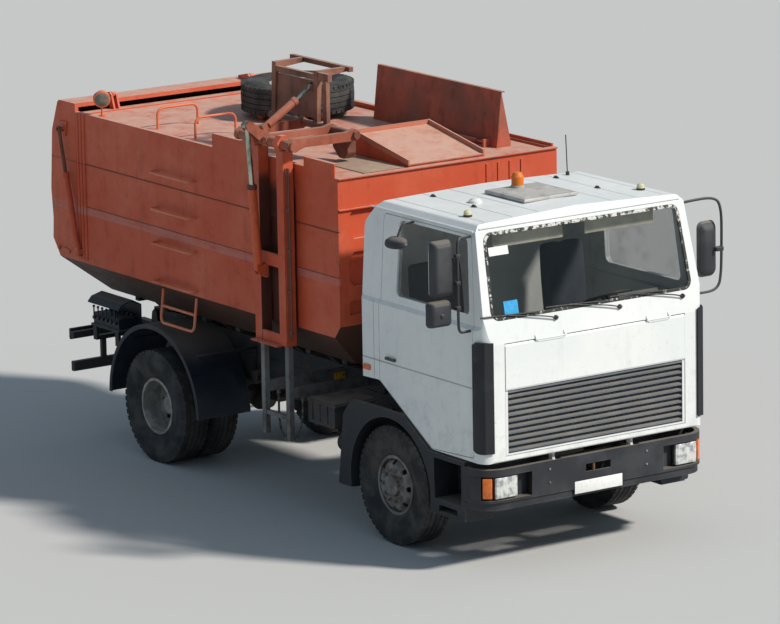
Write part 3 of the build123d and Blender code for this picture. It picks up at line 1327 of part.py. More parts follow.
def mast_guide():
    """Two grey posts on the body's right side, with webs, a low crossbar and bracket arms."""
    shape = None
    for x in POST_X:
        post = block((x - 30, x + 30), (POST_Y - 25, POST_Y + 25), (690, POST_TOP))
        for low, high in ((1770, 1980), (POST_TOP - 200, POST_TOP - 20)):
            post += block((x - 12, x + 12), (POST_Y + 20, -BODY_HALF - 8), (low, high))
            post += block((x - 12, x + 12), (-BODY_HALF - 9, -BODY_HALF - FIT), (low, high))
        post += block((x - 22, x + 22), (POST_Y + 20, -425 - FIT), (1080, 1180))
        shape = post if shape is None else shape + post
        shape += rod((x, HOSE_Y, HOSE_TOP), (x, HOSE_Y, 1081), HOSE_R + 6)
    shape += block((POST_X[0], POST_X[1]), (POST_Y - 18, POST_Y + 18), (872, 912))
    return shape


def loader_hose():
    """Slack hydraulic hose that hangs between the two bracket arms."""
    radii = []
    for before, here, after in zip(HOSE, HOSE[1:], HOSE[2:]):
        a, b = Vector(*here) - Vector(*before), Vector(*after) - Vector(*here)
        turn = math.radians(a.get_angle(b))
        radii.append(0.45 * min(a.length, b.length) / math.tan(turn / 2))
    print("hose radii", [round(radius) for radius in radii])
    path = FilletPolyline(*HOSE, radius=radii)
    tube = sweep(Plane(origin=path @ 0, z_dir=path % 0) * Circle(HOSE_R), path=path)
    print("hose length", round(path.length), "volume share",
          round(tube.volume / (math.pi * HOSE_R ** 2 * path.length), 4))
    return tube


def mast():
    """Two orange channels that slide on the posts, tied across, with the arm's bearings."""
    shape = None
    outer, inner = POST_Y - 60, -BODY_HALF - 20
    low, top = 1580, PIVOT_Z - 60
    for x in POST_X:
        channel = block((x - 55, x + 55), (outer, inner), (low, top))
        channel -= block((x - 36, x + 36), (POST_Y - 31, inner + 40), (low - 1, top + 1))
        for z in (1600, POST_TOP - 180):
            channel += block((x - 37, x - 30 - FIT), (POST_Y - 25, POST_Y + 25), (z, z + 160))
            channel += block((x + 30 + FIT, x + 37), (POST_Y - 25, POST_Y + 25), (z, z + 160))
            channel += block((x - 20, x + 20), (POST_Y - 32, POST_Y - 25 - FIT), (z, z + 160))
        cap = block((x - 55, x + 55), (outer, inner), (top - 30, top))
        bearing = slab_yz([(outer - 20, top - 1), (inner, top - 1), (inner - 8, PIVOT_Z + 30),
                           (PIVOT_Y + 30, PIVOT_Z + 78), (PIVOT_Y - 30, PIVOT_Z + 78),
                           (outer - 50, PIVOT_Z + 20)], (x - 40, x + 40))
        bearing -= rod((x - 50, PIVOT_Y, PIVOT_Z), (x + 50, PIVOT_Y, PIVOT_Z), DRUM_R + RUN)
        post = channel + cap + bearing
        shape = post if shape is None else shape + post
    x0, x1 = POST_X[0] + 54, POST_X[1] - 54
    base_y, base_z = LIFT_BASE
    for z0, z1 in ((low, low + 100), (base_z + 50, base_z + 170)):
        shape += block((x0, x1), (outer, outer + 24), (z0, z1))
    shape += block((POST_X[0] - 60, POST_X[1] - 30), (outer - 55, outer + 1), (1568, 1582))
    for x in ((LIFT_X - 42, LIFT_X - 28), (LIFT_X + 28, LIFT_X + 42)):
        shape += slab_yz([(outer + 4, base_z + 60), (outer + 4, base_z - 60),
                          (base_y - 10, base_z - 38), (base_y - 34, base_z), (base_y - 20, base_z + 30)], x)
    shape += block((LIFT_X - 40, LIFT_X + 40), (outer, outer + 24), (base_z - 70, base_z + 60))
    shape += rod((LIFT_X - 42, base_y, base_z), (LIFT_X + 42, base_y, base_z), 18)
    pipes = POST_X[1] + 74
    for x in (pipes, pipes + 26):
        shape += rod((x, outer + 30, low + 60), (x, outer + 30, top - 150), 9)
    for z in range(1700, int(top) - 200, 380):
        shape += block((POST_X[1] + 54, pipes + 40), (outer + 18, outer + 42), (z, z + 26))
    return shape


def arm():
    """Drum in the mast's bearings with three arms over the roof, a plate and the lift lever."""
    x0, x1 = -60, 860
    shape = rod((x0, PIVOT_Y, PIVOT_Z), (x1, PIVOT_Y, PIVOT_Z), DRUM_R)
    beam = [(PIVOT_Y - 62, PIVOT_Z - 14), (PIVOT_Y - 40, PIVOT_Z - 46), (PIVOT_Y + 20, PIVOT_Z - 52),
            (PIVOT_Y + 130, PIVOT_Z - 20), (GRIP_Y - 10, GRIP_Z - 56), (GRIP_Y + 40, GRIP_Z - 40),
            (GRIP_Y + 50, GRIP_Z + 20), (GRIP_Y, GRIP_Z + 52), (GRIP_Y - 90, GRIP_Z + 30),
            (PIVOT_Y + 130, PIVOT_Z + 60), (PIVOT_Y, PIVOT_Z + 66), (PIVOT_Y - 52, PIVOT_Z + 36)]
    for low, high in ((-60, -10), (410, 470), (770, 830)):
        shape += slab_yz(beam, (low, high))
    shape += block((469, 771), (PIVOT_Y + 90, GRIP_Y - 240), (PIVOT_Z - 10, PIVOT_Z + 6))
    shape += block((-11, 411), (PIVOT_Y + 98, PIVOT_Y + 200), (PIVOT_Z - 10, PIVOT_Z + 6))
    for x in ((TILT_CYL_X - 34, TILT_CYL_X - 22), (TILT_CYL_X + 22, TILT_CYL_X + 34)):
        shape += slab_yz([(TILT_BASE[0] - 36, PIVOT_Z), (TILT_BASE[0] + 36, PIVOT_Z),
                          (TILT_BASE[0] + 24, TILT_BASE[1] + 16), (TILT_BASE[0], TILT_BASE[1] + 28),
                          (TILT_BASE[0] - 24, TILT_BASE[1] + 16)], x)
    shape += rod((TILT_CYL_X - 34, *TILT_BASE), (TILT_CYL_X + 34, *TILT_BASE), 14)
    lever = [(PIVOT_Y + 10, PIVOT_Z - 50), (PIVOT_Y + 46, PIVOT_Z + 20), (LIFT_EYE[0] + 40, LIFT_EYE[1] + 26),
             (LIFT_EYE[0], LIFT_EYE[1] + 44), (LIFT_EYE[0] - 42, LIFT_EYE[1] + 6),
             (LIFT_EYE[0] - 26, LIFT_EYE[1] - 36), (PIVOT_Y - 48, PIVOT_Z - 20)]
    for x in ((LIFT_X - 42, LIFT_X - 28), (LIFT_X + 28, LIFT_X + 42)):
        shape += slab_yz(lever, x)
    shape -= rod((x0 - 10, GRIP_Y, GRIP_Z), (x1 + 10, GRIP_Y, GRIP_Z), GRIP_R + RUN)
    return shape


def gripper():
    """Tilting frame: hinge tube, back plate, uprights, cross bars and the hooked claw."""
    shape = rod((-560, GRIP_Y, GRIP_Z), (860, GRIP_Y, GRIP_Z), GRIP_R)
    top = GRIP_Z + 505
    lean = [(GRIP_Y - 20, GRIP_Z + 57), (GRIP_Y + 20, GRIP_Z + 57), (GRIP_Y + 50, top), (GRIP_Y - 4, top)]
    foot = [(GRIP_Y - 20, GRIP_Z), (GRIP_Y + 20, GRIP_Z), (GRIP_Y + 24, GRIP_Z + 70), (GRIP_Y - 18, GRIP_Z + 70)]
    for x in ((-520, -455), (170, 235)):
        shape += slab_yz(lean, x) + slab_yz(foot, x)
    plate = [(GRIP_Y - 4, GRIP_Z + 60), (GRIP_Y + 10, GRIP_Z + 60), (GRIP_Y + 32, top - 105),
             (GRIP_Y + 18, top - 105)]
    shape += slab_yz(plate, (-456, 171))
    for x in ((-520, -465), (180, 235)):
        shape += slab_yz([(GRIP_Y + 20, top - 65), (-310, top - 35), (-290, top + 5), (GRIP_Y + 20, top)], x)
    shape += block((-690, 290), (-330, -285), (top - 35, top + 9))
    shape += block((-456, 171), (GRIP_Y - 2, GRIP_Y + 40), (top - 85, top - 35))
    shape += block((234, 400), (GRIP_Y - 2, GRIP_Y + 44), (top - 80, top - 10))
    shape += block((335, 395), (GRIP_Y - 20, GRIP_Y + 20), (GRIP_Z, top - 75))
    z = GRIP_Z - 240
    claw = [(500, z + 260), (742, z + 250), (742, z + 160), (742, z + 60), (690, z), (600, z), (500, z + 90)]
    scoop = slab_xz(claw, (GRIP_Y - 30, GRIP_Y + 60), [10, 10, 0, 40, 30, 60, 30])
    scoop -= slab_xz([(516, z + 180), (728, z + 180), (728, z + 70), (684, z + 14), (606, z + 14),
                      (516, z + 98)], (GRIP_Y - 16, GRIP_Y + 70))
    shape += scoop
    shape += block((395, 501), (GRIP_Y - 16, GRIP_Y + 16), (GRIP_Z - 30, GRIP_Z + 20)) & \
        rod((395, GRIP_Y, GRIP_Z), (501, GRIP_Y, GRIP_Z), GRIP_R)
    for x in ((TILT_CYL_X - 34, TILT_CYL_X - 22), (TILT_CYL_X + 22, TILT_CYL_X + 34)):
        shape += slab_yz([(GRIP_Y + 32, TILT_EYE[1] + 40), (GRIP_Y + 32, TILT_EYE[1] - 40),
                          (TILT_EYE[0] - 16, TILT_EYE[1] - 28), (TILT_EYE[0] - 28, TILT_EYE[1]),
                          (TILT_EYE[0] - 16, TILT_EYE[1] + 28)], x)
    shape -= rod((TILT_CYL_X - 22, *TILT_EYE), (TILT_CYL_X + 22, *TILT_EYE), 38)
    return shape


forms = {}


def cab_inset(depth):
    """Cab form set in by a depth, worked out once."""
    if depth not in forms:
        forms[depth] = cab_form(depth)
    return forms[depth]


# Write every node

for name, side in (("left", 1), ("right", -1)):
    save("front_" + name + "_tyre", front_tyre(side))
    save("front_" + name + "_rim", front_rim(side))
    save("rear_" + name + "_tyres", *rear_tyres(side))
    save("rear_" + name + "_rims", rear_rims(side))
    save(name + "_knuckle", knuckle(side))
    save(name + "_door", door(cab_inset(0), cab_inset(CAB_WALL), side) + door_handle(side))
    save(name + "_door_glass", door_glass(side))
    save(name + "_mirrors", mirrors(side))

save("tie_rod", tie_rod())
save("front_axle_beam", front_axle_beam())
save("rear_axle_housing", rear_axle_housing())
save("leaf_springs", *front_springs(), *rear_springs())
save("chassis_frame", chassis_frame())
save("drivetrain", engine_block(), propshaft())
save("tanks_and_battery_box", fuel_tank(), air_tanks(), battery_box())
save("front_arches", front_arches())
save("front_bumper", front_bumper())
save("lamps", headlamps(), turn_lamps(), tail_lamps())
save("rear_fenders", rear_fenders())
save("valve_bank", valve_bank(), valve_cover())

save("cab_shell", cab_shell(cab_inset(0), cab_inset(CAB_WALL)))
save("windscreen", windscreen())
save("lift_panel", lift_panel())
save("grille_and_vanes", grille(), air_deflectors())
save("dashboard", dashboard())
save("steering_wheel", steering_wheel())
save("seats", *seats())
save("roof_vent_and_beacon", roof_vent(), beacon())
save("cab_roof_fittings", *cab_roof_fittings())

save("body_shell", body_shell())
save("body_front", body_front())
save("body_roof", body_roof())
save("body_subframe", body_subframe())
save("hatch_lid", hatch_lid())
save("deflector", deflector())
save("steps_and_rails", roof_fittings(), side_ladder())
spare_tyre, spare_rim = spare_wheel()
save("spare_tyre", spare_tyre)
save("spare_rim", spare_rim)
save("tailgate", tailgate())

barrels, rods = gate_cylinders()
save("tailgate_barrels", *barrels)
save("tailgate_rods", *rods)
for name, (barrel, bar) in (
    ("tipping", tipping_cylinder()), ("lift", lift_cylinder()), ("tilt", tilt_cylinder()),
):
    save(name + "_barrel", barrel)
    save(name + "_rod", bar)

save("mast_guide", mast_guide())
save("loader_hose", loader_hose())
save("mast", mast())
save("arm", arm())
save("gripper", gripper())
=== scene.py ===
"""Side-loading garbage truck, dressed for the render. Metres: X forward, Y left, Z up."""

import json
import math

import bpy
from mathutils import Matrix, Vector

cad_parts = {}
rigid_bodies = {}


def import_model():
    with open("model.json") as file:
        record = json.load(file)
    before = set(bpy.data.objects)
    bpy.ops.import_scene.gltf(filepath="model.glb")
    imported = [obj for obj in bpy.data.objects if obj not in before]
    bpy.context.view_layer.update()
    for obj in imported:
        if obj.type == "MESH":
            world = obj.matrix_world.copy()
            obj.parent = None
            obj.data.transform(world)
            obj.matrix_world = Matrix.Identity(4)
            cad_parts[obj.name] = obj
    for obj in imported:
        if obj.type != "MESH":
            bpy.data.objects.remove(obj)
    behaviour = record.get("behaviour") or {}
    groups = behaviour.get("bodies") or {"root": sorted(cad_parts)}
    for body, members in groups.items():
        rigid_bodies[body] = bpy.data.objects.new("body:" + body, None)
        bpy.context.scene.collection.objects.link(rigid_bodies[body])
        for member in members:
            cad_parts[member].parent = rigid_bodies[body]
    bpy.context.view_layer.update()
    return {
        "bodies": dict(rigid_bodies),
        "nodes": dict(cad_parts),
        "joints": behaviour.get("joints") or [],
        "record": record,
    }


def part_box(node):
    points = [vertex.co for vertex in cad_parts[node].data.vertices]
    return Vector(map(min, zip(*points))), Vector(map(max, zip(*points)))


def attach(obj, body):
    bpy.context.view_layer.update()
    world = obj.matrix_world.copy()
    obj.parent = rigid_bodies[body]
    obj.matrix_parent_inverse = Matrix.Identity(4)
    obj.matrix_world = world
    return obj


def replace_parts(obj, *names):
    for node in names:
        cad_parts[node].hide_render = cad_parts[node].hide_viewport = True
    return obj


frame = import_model()
nodes = frame["nodes"]

SMOOTH = math.radians(32)  # faces that meet flatter than this are shaded as one


# Chassis frame, cross members and brackets: rolled steel rails, painted dark blue-grey and
# covered with road dirt. The CAD solids stay, and only get their paint here.


class Socket:
    """One output of a shader node, on which sums and products can be written."""

    def __init__(self, finish, link):
        self.finish = finish
        self.link = link

    def math(self, operation, *values):
        return self.finish.node("ShaderNodeMath", {"operation": operation}, values)

    def __add__(self, other):
        return self.math("ADD", self, other)

    def __rsub__(self, other):
        return self.math("SUBTRACT", other, self)

    def __mul__(self, other):
        return self.math("MULTIPLY", self, other)


class Finish:
    """A material on one Principled shader, with the patterns that its paint or rubber shows."""

    def __init__(self, name, **sockets):
        self.material = bpy.data.materials.new(name)
        self.material.use_nodes = True
        self.tree = self.material.node_tree
        self.shader = self.tree.nodes["Principled BSDF"]
        self.place = self.node("ShaderNodeTexCoord", out="Object")
        self.feed(**sockets)

    def node(self, kind, settings=None, values=(), out=0):
        """Any node, given its settings first and then the values or links of its sockets."""
        made = self.tree.nodes.new(kind)
        for key, value in (settings or {}).items():
            setattr(made, key, value)
        pairs = values.items() if isinstance(values, dict) else enumerate(values)
        for key, value in pairs:
            if isinstance(value, Socket):
                self.tree.links.new(value.link, made.inputs[key])
            else:
                made.inputs[key].default_value = value
        return Socket(self, made.outputs[out])

    def feed(self, **sockets):
        """Sets or links the shader's own sockets, base_color and so on."""
        for key, value in sockets.items():
            socket = self.shader.inputs[key.replace("_", " ").title().replace("Ior", "IOR")]
            if isinstance(value, Socket):
                self.tree.links.new(value.link, socket)
            else:
                socket.default_value = (*value, 1) if isinstance(value, tuple) else value

    def noise(self, scale, detail=4.0, rough=0.6, stretch=(1, 1, 1)):
        """Cloudy pattern fixed to the object, finer as the scale grows."""
        spot = self.node("ShaderNodeMapping", None, {"Vector": self.place, "Scale": stretch})
        return self.node("ShaderNodeTexNoise", None, {
            "Vector": spot, "Scale": scale, "Detail": detail, "Roughness": rough})

    def rise(self, value, low, high):
        """0 below low, 1 above high, and smooth between."""
        return self.node("ShaderNodeMapRange", {"interpolation_type": "SMOOTHSTEP"},
                         {"Value": value, "From Min": low, "From Max": high})

    def mix(self, share, first, second):
        """Colour between two colours."""
        first, second = ((*c, 1) if isinstance(c, tuple) else c for c in (first, second))
        return self.node("ShaderNodeMix", {"data_type": "RGBA"}, {0: share, 6: first, 7: second}, 2)

    def axis(self, letter):
        """One coordinate of the place on the object, in metres."""
        return self.node("ShaderNodeSeparateXYZ", None, (self.place,), letter)

    def across(self):
        """Distance from the truck's middle plane, in metres."""
        return self.node("ShaderNodeMath", {"operation": "ABSOLUTE"}, (self.axis("Y"),))

    def ribs(self, letter, turn):
        """Ripple along one axis, by so many radians a metre."""
        return self.node("ShaderNodeMath", {"operation": "SINE"}, (self.axis(letter) * turn,))

    def clouded(self, first, second, scale, detail=4.0, low=0.4, high=0.7):
        """Base colour that wanders between two colours. Gives back the pattern."""
        cloud = self.noise(scale, detail)
        self.feed(base_color=self.mix(self.rise(cloud, low, high), first, second))
        return cloud

    def upward(self):
        """1 where the surface looks up, 0 where it stands upright."""
        normal = self.node("ShaderNodeNewGeometry", out="Normal")
        return self.node("ShaderNodeSeparateXYZ", None, (normal,), "Z")

    def edges(self, width):
        """1 along sharp edges within the width, 0 on flat ground."""
        flat = self.node("ShaderNodeNewGeometry", out="Normal")
        soft = self.node("ShaderNodeBevel", {"samples": 4}, {"Radius": width})
        turn = self.node("ShaderNodeVectorMath", {"operation": "DOT_PRODUCT"}, (flat, soft),
                         "Value")
        return self.rise(1 - turn, 0.02, 0.25)

    def bump(self, height, depth):
        """Relief of the given depth, in metres, where the height rises from 0 to 1."""
        self.feed(normal=self.node("ShaderNodeBump", None, {"Distance": depth, "Height": height}))


DUST = (0.30, 0.25, 0.20)
RUST = (0.17, 0.055, 0.022)


def worn_paint(name, colour, faded, dirt=0.5, rust=0.5, dust=0.6, rough=0.5, streaks=0.5,
               top_dust=DUST, marks=None):
    """Old paint: faded in patches, streaked by rain, rusty at its edges and dusty on top.

    marks may add stripes or pressed lines: it takes the finish and the colour so far, and gives
    back the colour and the height of its lines.
    """
    paint = Finish(name)
    cloud = paint.noise(1.3, 5.0)
    grime = paint.noise(7.0, 8.0, 0.7)
    rain = paint.noise(9.0, 5.0, 0.6, (1, 1, 0.10))
    tone = paint.mix(paint.rise(cloud, 0.40, 0.66), colour, faded)
    lines = None
    if marks:
        tone, lines = marks(paint, tone)
    run = paint.rise(rain * 0.6 + grime * 0.4, 0.50, 0.66) * streaks
    tone = paint.mix(run, tone, tuple(0.42 * c for c in colour))
    low = 1 - paint.rise(paint.axis("Z"), 0.5, 2.2)
    tone = paint.mix(paint.rise(grime + low * 0.22, 0.60, 0.80) * dirt, tone, (0.07, 0.055, 0.045))
    spots = paint.rise(paint.noise(26.0, 8.0, 0.75), 0.60, 0.68)
    worn = paint.edges(0.018) * paint.rise(grime, 0.42, 0.60) + spots * 0.35
    tone = paint.mix(worn * rust, tone, RUST)
    top = paint.rise(paint.upward(), 0.55, 0.95) * paint.rise(grime, 0.15, 0.60)
    tone = paint.mix(top * dust, tone, top_dust)
    paint.feed(base_color=tone, roughness=paint.rise(grime, 0.2, 0.9) * 0.3 + rough)
    height = grime * 0.6 + spots * 0.4
    paint.bump(height + lines if lines else height, 0.003)
    return paint.material


def dress(material, *names):
    """Gives CAD nodes their finish."""
    for name in names:
        for slot in nodes[name].material_slots:
            slot.material = material


frame_paint = worn_paint("frame_paint", (0.018, 0.023, 0.030), (0.042, 0.048, 0.054), dirt=0.7,
                         rust=0.5, dust=0.75, rough=0.55)
cast_metal = worn_paint("cast_metal", (0.040, 0.036, 0.033), (0.075, 0.062, 0.050), dirt=0.8,
                        rust=0.7, dust=0.7, rough=0.6)
dress(frame_paint, "chassis_frame", "tanks_and_battery_box", "body_subframe")
dress(cast_metal, "front_axle_beam", "rear_axle_housing", "drivetrain", "left_knuckle",
      "right_knuckle", "tie_rod", "leaf_springs")


# Tyres: moulded rubber with four straight grooves round the tread, blocks along its shoulders and
# a raised band on each side wall. Each stands for the CAD tyre, whose place it takes.


def deselect():
    """Leaves edit mode and selects nothing."""
    if bpy.context.object and bpy.context.object.mode != "OBJECT":
        bpy.ops.object.mode_set(mode="OBJECT")
    bpy.ops.object.select_all(action="DESELECT")


def settle(piece, name, body, material):
    """Puts the piece's place into its mesh, names it, paints it and lets it ride on its body."""
    deselect()
    piece.select_set(True)
    bpy.context.view_layer.objects.active = piece
    bpy.ops.object.transform_apply(location=True, rotation=True, scale=True)
    piece.name = name
    piece.data.materials.clear()
    piece.data.materials.append(material)
    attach(piece, body)
    return piece


def turned(rings, sides=48, closed=False):
    """Lathe work about Z: rings of (radius, height), each extruded from the one before."""
    deselect()
    radius, height = rings[0]
    bpy.ops.mesh.primitive_circle_add(vertices=sides, radius=radius, location=(0, 0, 0),
                                      fill_type="NOTHING" if closed else "NGON")
    piece = bpy.context.object
    bpy.ops.object.mode_set(mode="EDIT")
    bpy.ops.mesh.select_all(action="SELECT")
    bpy.ops.transform.translate(value=(0, 0, height))
    for next_radius, next_height in rings[1:]:
        bpy.ops.mesh.extrude_region_move(
            TRANSFORM_OT_translate={"value": (0, 0, next_height - height)})
        share = next_radius / radius
        bpy.ops.transform.resize(value=(share, share, 1), center_override=(0, 0, next_height))
        radius, height = next_radius, next_height
    bpy.ops.mesh.select_all(action="SELECT")
    bpy.ops.mesh.remove_doubles(threshold=0.00001)
    bpy.ops.mesh.normals_make_consistent(inside=False)
    bpy.ops.object.mode_set(mode="OBJECT")
    bpy.ops.object.shade_smooth_by_angle(angle=SMOOTH)
    return piece


def aim(piece, place, along):
    """Turns lathe work so that its top looks along a direction, and moves it to its place."""
    turn = Vector(along).to_track_quat("Z", "Y").to_matrix().to_4x4()
    piece.matrix_world = Matrix.Translation(place) @ turn
    return piece


def joined(pieces):
    """Several pieces made into one."""
    deselect()
    for piece in pieces:
        piece.select_set(True)
    bpy.context.view_layer.objects.active = pieces[0]
    bpy.ops.object.join()
    return pieces[0]


def lay_along_y(piece, place, flip=False):
    """Turns lathe work from Z to Y, its top outwards, and moves it to its place."""
    piece.matrix_world = (Matrix.Translation(place)
                          @ Matrix.Rotation(math.radians(90 if flip else -90), 4, "X"))


rubber = Finish("tyre_rubber", specular_ior_level=0.3)
rubber.clouded((0.026, 0.026, 0.028), (0.080, 0.075, 0.069), 5.0, 6.0, 0.35, 0.70)
fine = rubber.noise(60.0, 4.0)
rubber.feed(roughness=rubber.rise(fine, 0.2, 0.8) * 0.2 + 0.72)
rubber.bump(fine, 0.001)

TYRE_RADIUS = 0.545
TYRE_HALF = 0.1465  # half of the tyre's width
GROOVE = 0.009  # depth of a groove
TREAD_HALF = 0.105  # half of the tread's width
CROWN = 0.007  # how far the tread falls away at its edges
LUGS = 52  # shoulder blocks round each edge of the tread
tread_rings = []
for centre in (0.078, 0.028, -0.028, -0.078):
    for step, drop in ((0.005, 0), (0.0035, 1), (-0.0035, 1), (-0.005, 0)):
        y = centre + step
        crown = TYRE_RADIUS - CROWN * (abs(y) / TREAD_HALF) ** 2
        tread_rings.append((crown - drop * GROOVE, y))
wall = [
    # radius, half width
    (0.254, 0.105), (0.278, 0.107), (0.292, 0.116), (0.300, 0.116), (0.345, 0.133),
    (0.420, TYRE_HALF), (0.462, 0.1445), (0.470, 0.1462), (0.482, 0.1450), (0.505, 0.135),
    (0.528, 0.127), (0.538, 0.1045),
]
tyre_rings = wall + tread_rings + [(r, -h) for r, h in reversed(wall)]
tyre_rings.append(tyre_rings[0])


def make_tyre(name, body, place, upright=True):
    """One tyre: the turned carcass, with shoulder blocks set round both edges of the tread."""
    carcass = turned(tyre_rings, 104, closed=True)
    blocks = []
    for side in (1, -1):
        deselect()
        bpy.ops.mesh.primitive_cube_add(size=1, location=(0.5345, 0, side * 0.1135))
        block = bpy.context.object
        block.scale = (0.018, 0.046, 0.030)
        bpy.ops.object.transform_apply(location=True, rotation=True, scale=True)
        for step in range(LUGS):
            lug = block.copy()
            lug.data = block.data.copy()
            bpy.context.collection.objects.link(lug)
            lug.rotation_euler = (0, 0, 2 * math.pi * (step + 0.25 * side) / LUGS)
            blocks.append(lug)
        bpy.data.objects.remove(block)
    joined([carcass, *blocks])
    if upright:
        lay_along_y(carcass, place)
    else:
        carcass.location = place
    return settle(carcass, name, body, rubber.material)


def middle(node):
    """Centre of a CAD node's box."""
    low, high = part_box(node)
    return (Vector(low) + Vector(high)) / 2


for word in ("left", "right"):
    node = f"front_{word}_tyre"
    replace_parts(make_tyre(node + "_dressed", f"front_{word}_wheel", middle(node)), node)
for side_name in ("left", "right"):
    node, body = f"rear_{side_name}_tyres", f"rear_{side_name}_wheels"
    low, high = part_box(node)
    centre = middle(node)
    pair = [make_tyre(node + "_" + word, body, (centre.x, y, centre.z))
            for word, y in (("low_y", low[1] + TYRE_HALF), ("high_y", high[1] - TYRE_HALF))]
    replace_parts(pair[0], node)
spare = make_tyre("spare_tyre_dressed", "load_body", middle("spare_tyre"), upright=False)
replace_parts(spare, "spare_tyre")


# Rims: pressed steel discs in grey paint, held by ten nuts each. The front ones bulge out round
# their hubs, and the rear ones are deep dishes.

rim_grey = worn_paint("rim_grey", (0.16, 0.165, 0.165), (0.24, 0.235, 0.22), dirt=0.7, rust=0.7,
                      dust=0.2, rough=0.5, streaks=0.1)
rim_pale = worn_paint("rim_pale", (0.40, 0.39, 0.36), (0.50, 0.48, 0.44), dirt=0.5, rust=0.5,
                      dust=0.2, rough=0.5, streaks=0.1)
dress(rim_grey, "front_left_rim", "front_right_rim")
dress(rim_pale, "rear_left_rims", "rear_right_rims", "spare_rim")

FRONT_AXLE, REAR_AXLE = 2.15, -1.8  # places along X
NUTS = 10
NUT_CIRCLE = 0.142  # radius on which the nuts stand
for body, x, face, side in (
    # body, x of the axle, y of the disc's face, side
    ("front_left_wheel", FRONT_AXLE, 1.197, 1), ("front_right_wheel", FRONT_AXLE, -1.197, -1),
    ("rear_left_wheels", REAR_AXLE, 0.946, 1), ("rear_right_wheels", REAR_AXLE, -0.946, -1),
):
    ring = []
    for step in range(NUTS):
        angle = 2 * math.pi * step / NUTS
        nut = turned([(0.019, 0.0), (0.019, 0.006), (0.0155, 0.008), (0.0155, 0.026),
                      (0.012, 0.030), (0.010, 0.030), (0.010, 0.042), (0.008, 0.045)], 6)
        lay_along_y(nut, (x + NUT_CIRCLE * math.cos(angle), face,
                          TYRE_RADIUS + NUT_CIRCLE * math.sin(angle)), side < 0)
        ring.append(nut)
    settle(joined(ring), body + "_nuts", body, rim_grey)


# Dark trim: arches with steps, bumper, grille, corner vanes, rear fenders, valve bank and steering
# wheel, moulded or painted in dark grey that has gone pale with dust.


def moulding(name, colour, pale, marks=None):
    """Grained plastic, dusty in patches and scuffed at its edges."""
    skin = Finish(name)
    cloud = skin.noise(3.0, 6.0)
    grain = skin.noise(240.0, 2.0)
    tone = skin.mix(skin.rise(cloud, 0.42, 0.70), colour, pale)
    tone = skin.mix(skin.edges(0.012) * skin.rise(cloud, 0.35, 0.6) * 0.5, tone, (0.16, 0.15, 0.14))
    tone = skin.mix(skin.rise(skin.upward(), 0.6, 0.95) * 0.5, tone, DUST)
    if marks:
        tone = marks(skin, tone)
    skin.feed(base_color=tone, roughness=skin.rise(cloud, 0.2, 0.8) * 0.25 + 0.45)
    skin.bump(grain, 0.0006)
    return skin.material


def grille_edge(skin, tone):
    """The frame's sides and lower edge are painted like the cab, and the vanes are black."""
    across = skin.across()
    sides = skin.rise(across, 0.959, 0.961)
    low = 1 - skin.rise(skin.axis("Z"), 1.074, 1.077)
    frame = 1 - (1 - sides) * (1 - low)
    tone = skin.mix(frame, tone, (0.70, 0.72, 0.71))
    vane = skin.mix(skin.rise(skin.noise(2.0, 3.0), 0.55, 0.8), (0.010, 0.012, 0.016),
                    (0.075, 0.080, 0.085))
    return skin.mix(skin.rise(across, 1.02, 1.03), tone, vane)


dark_moulding = moulding("dark_moulding", (0.010, 0.013, 0.018), (0.026, 0.030, 0.036))
grille_moulding = moulding("grille_moulding", (0.105, 0.125, 0.150), (0.165, 0.185, 0.210),
                           grille_edge)
bumper_paint = moulding("bumper_paint", (0.015, 0.017, 0.022), (0.034, 0.037, 0.043))
fender_paint = moulding("fender_paint", (0.011, 0.017, 0.028), (0.030, 0.036, 0.046))
dress(fender_paint, "rear_fenders", "valve_bank")
dress(dark_moulding, "front_arches", "steering_wheel")
dress(grille_moulding, "grille_and_vanes")
dress(bumper_paint, "front_bumper")


# Vane covers: each corner vane is moulded in one smooth curve round the cab's corner, with rounded
# ends, and it is pushed onto the vane's core.


def thickened(sheet, thickness, outward):
    """Gives a sheet its thickness, to one side of it, with its faces outward."""
    shell = sheet.modifiers.new("thickness", "SOLIDIFY")
    shell.thickness = thickness
    shell.offset = 1 if outward else -1
    bpy.ops.object.modifier_apply(modifier="thickness")
    bpy.ops.object.mode_set(mode="EDIT")
    bpy.ops.mesh.select_all(action="SELECT")
    bpy.ops.mesh.normals_make_consistent(inside=False)
    bpy.ops.object.mode_set(mode="OBJECT")


VANE_MIDDLE, VANE_HALF = 1.595, 0.499  # height of the vane's middle, and half its length
VANE_ROUND = 0.030  # how far its ends draw in at their sides
inboard, bend, outboard = Vector((3.570, 1.112)), Vector((3.584, 1.234)), Vector((3.442, 1.238))

for side, word in ((1, "left"), (-1, "right")):
    deselect()
    bpy.ops.mesh.primitive_grid_add(x_subdivisions=14, y_subdivisions=20, size=2,
                                    location=(0, 0, 0))
    cover = bpy.context.object
    for vertex in cover.data.vertices:
        share = (vertex.co.x + 1) / 2
        spot = inboard * (1 - share) ** 2 + bend * 2 * share * (1 - share) + outboard * share ** 2
        rounded = VANE_ROUND * abs(vertex.co.x) ** 4
        height = VANE_MIDDLE + vertex.co.y * (VANE_HALF - rounded)
        vertex.co = (spot.x, side * spot.y, height)
    thickened(cover, 0.006, side > 0)
    bpy.ops.object.shade_smooth_by_angle(angle=SMOOTH)
    settle(cover, word + "_vane_cover", "cab", grille_moulding)


# Cab: welded steel, white, with pressed lines in its roof and sides darkened as painted shade, road
# film low down and rust along the seams. The doors and the lift panel are of the same paint.


def band(paint, value, low, high, soft=0.003):
    """1 between two values, 0 outside, with soft ends."""
    inside = paint.rise(value, low - soft, low + soft)
    return inside * (1 - paint.rise(value, high - soft, high + soft))


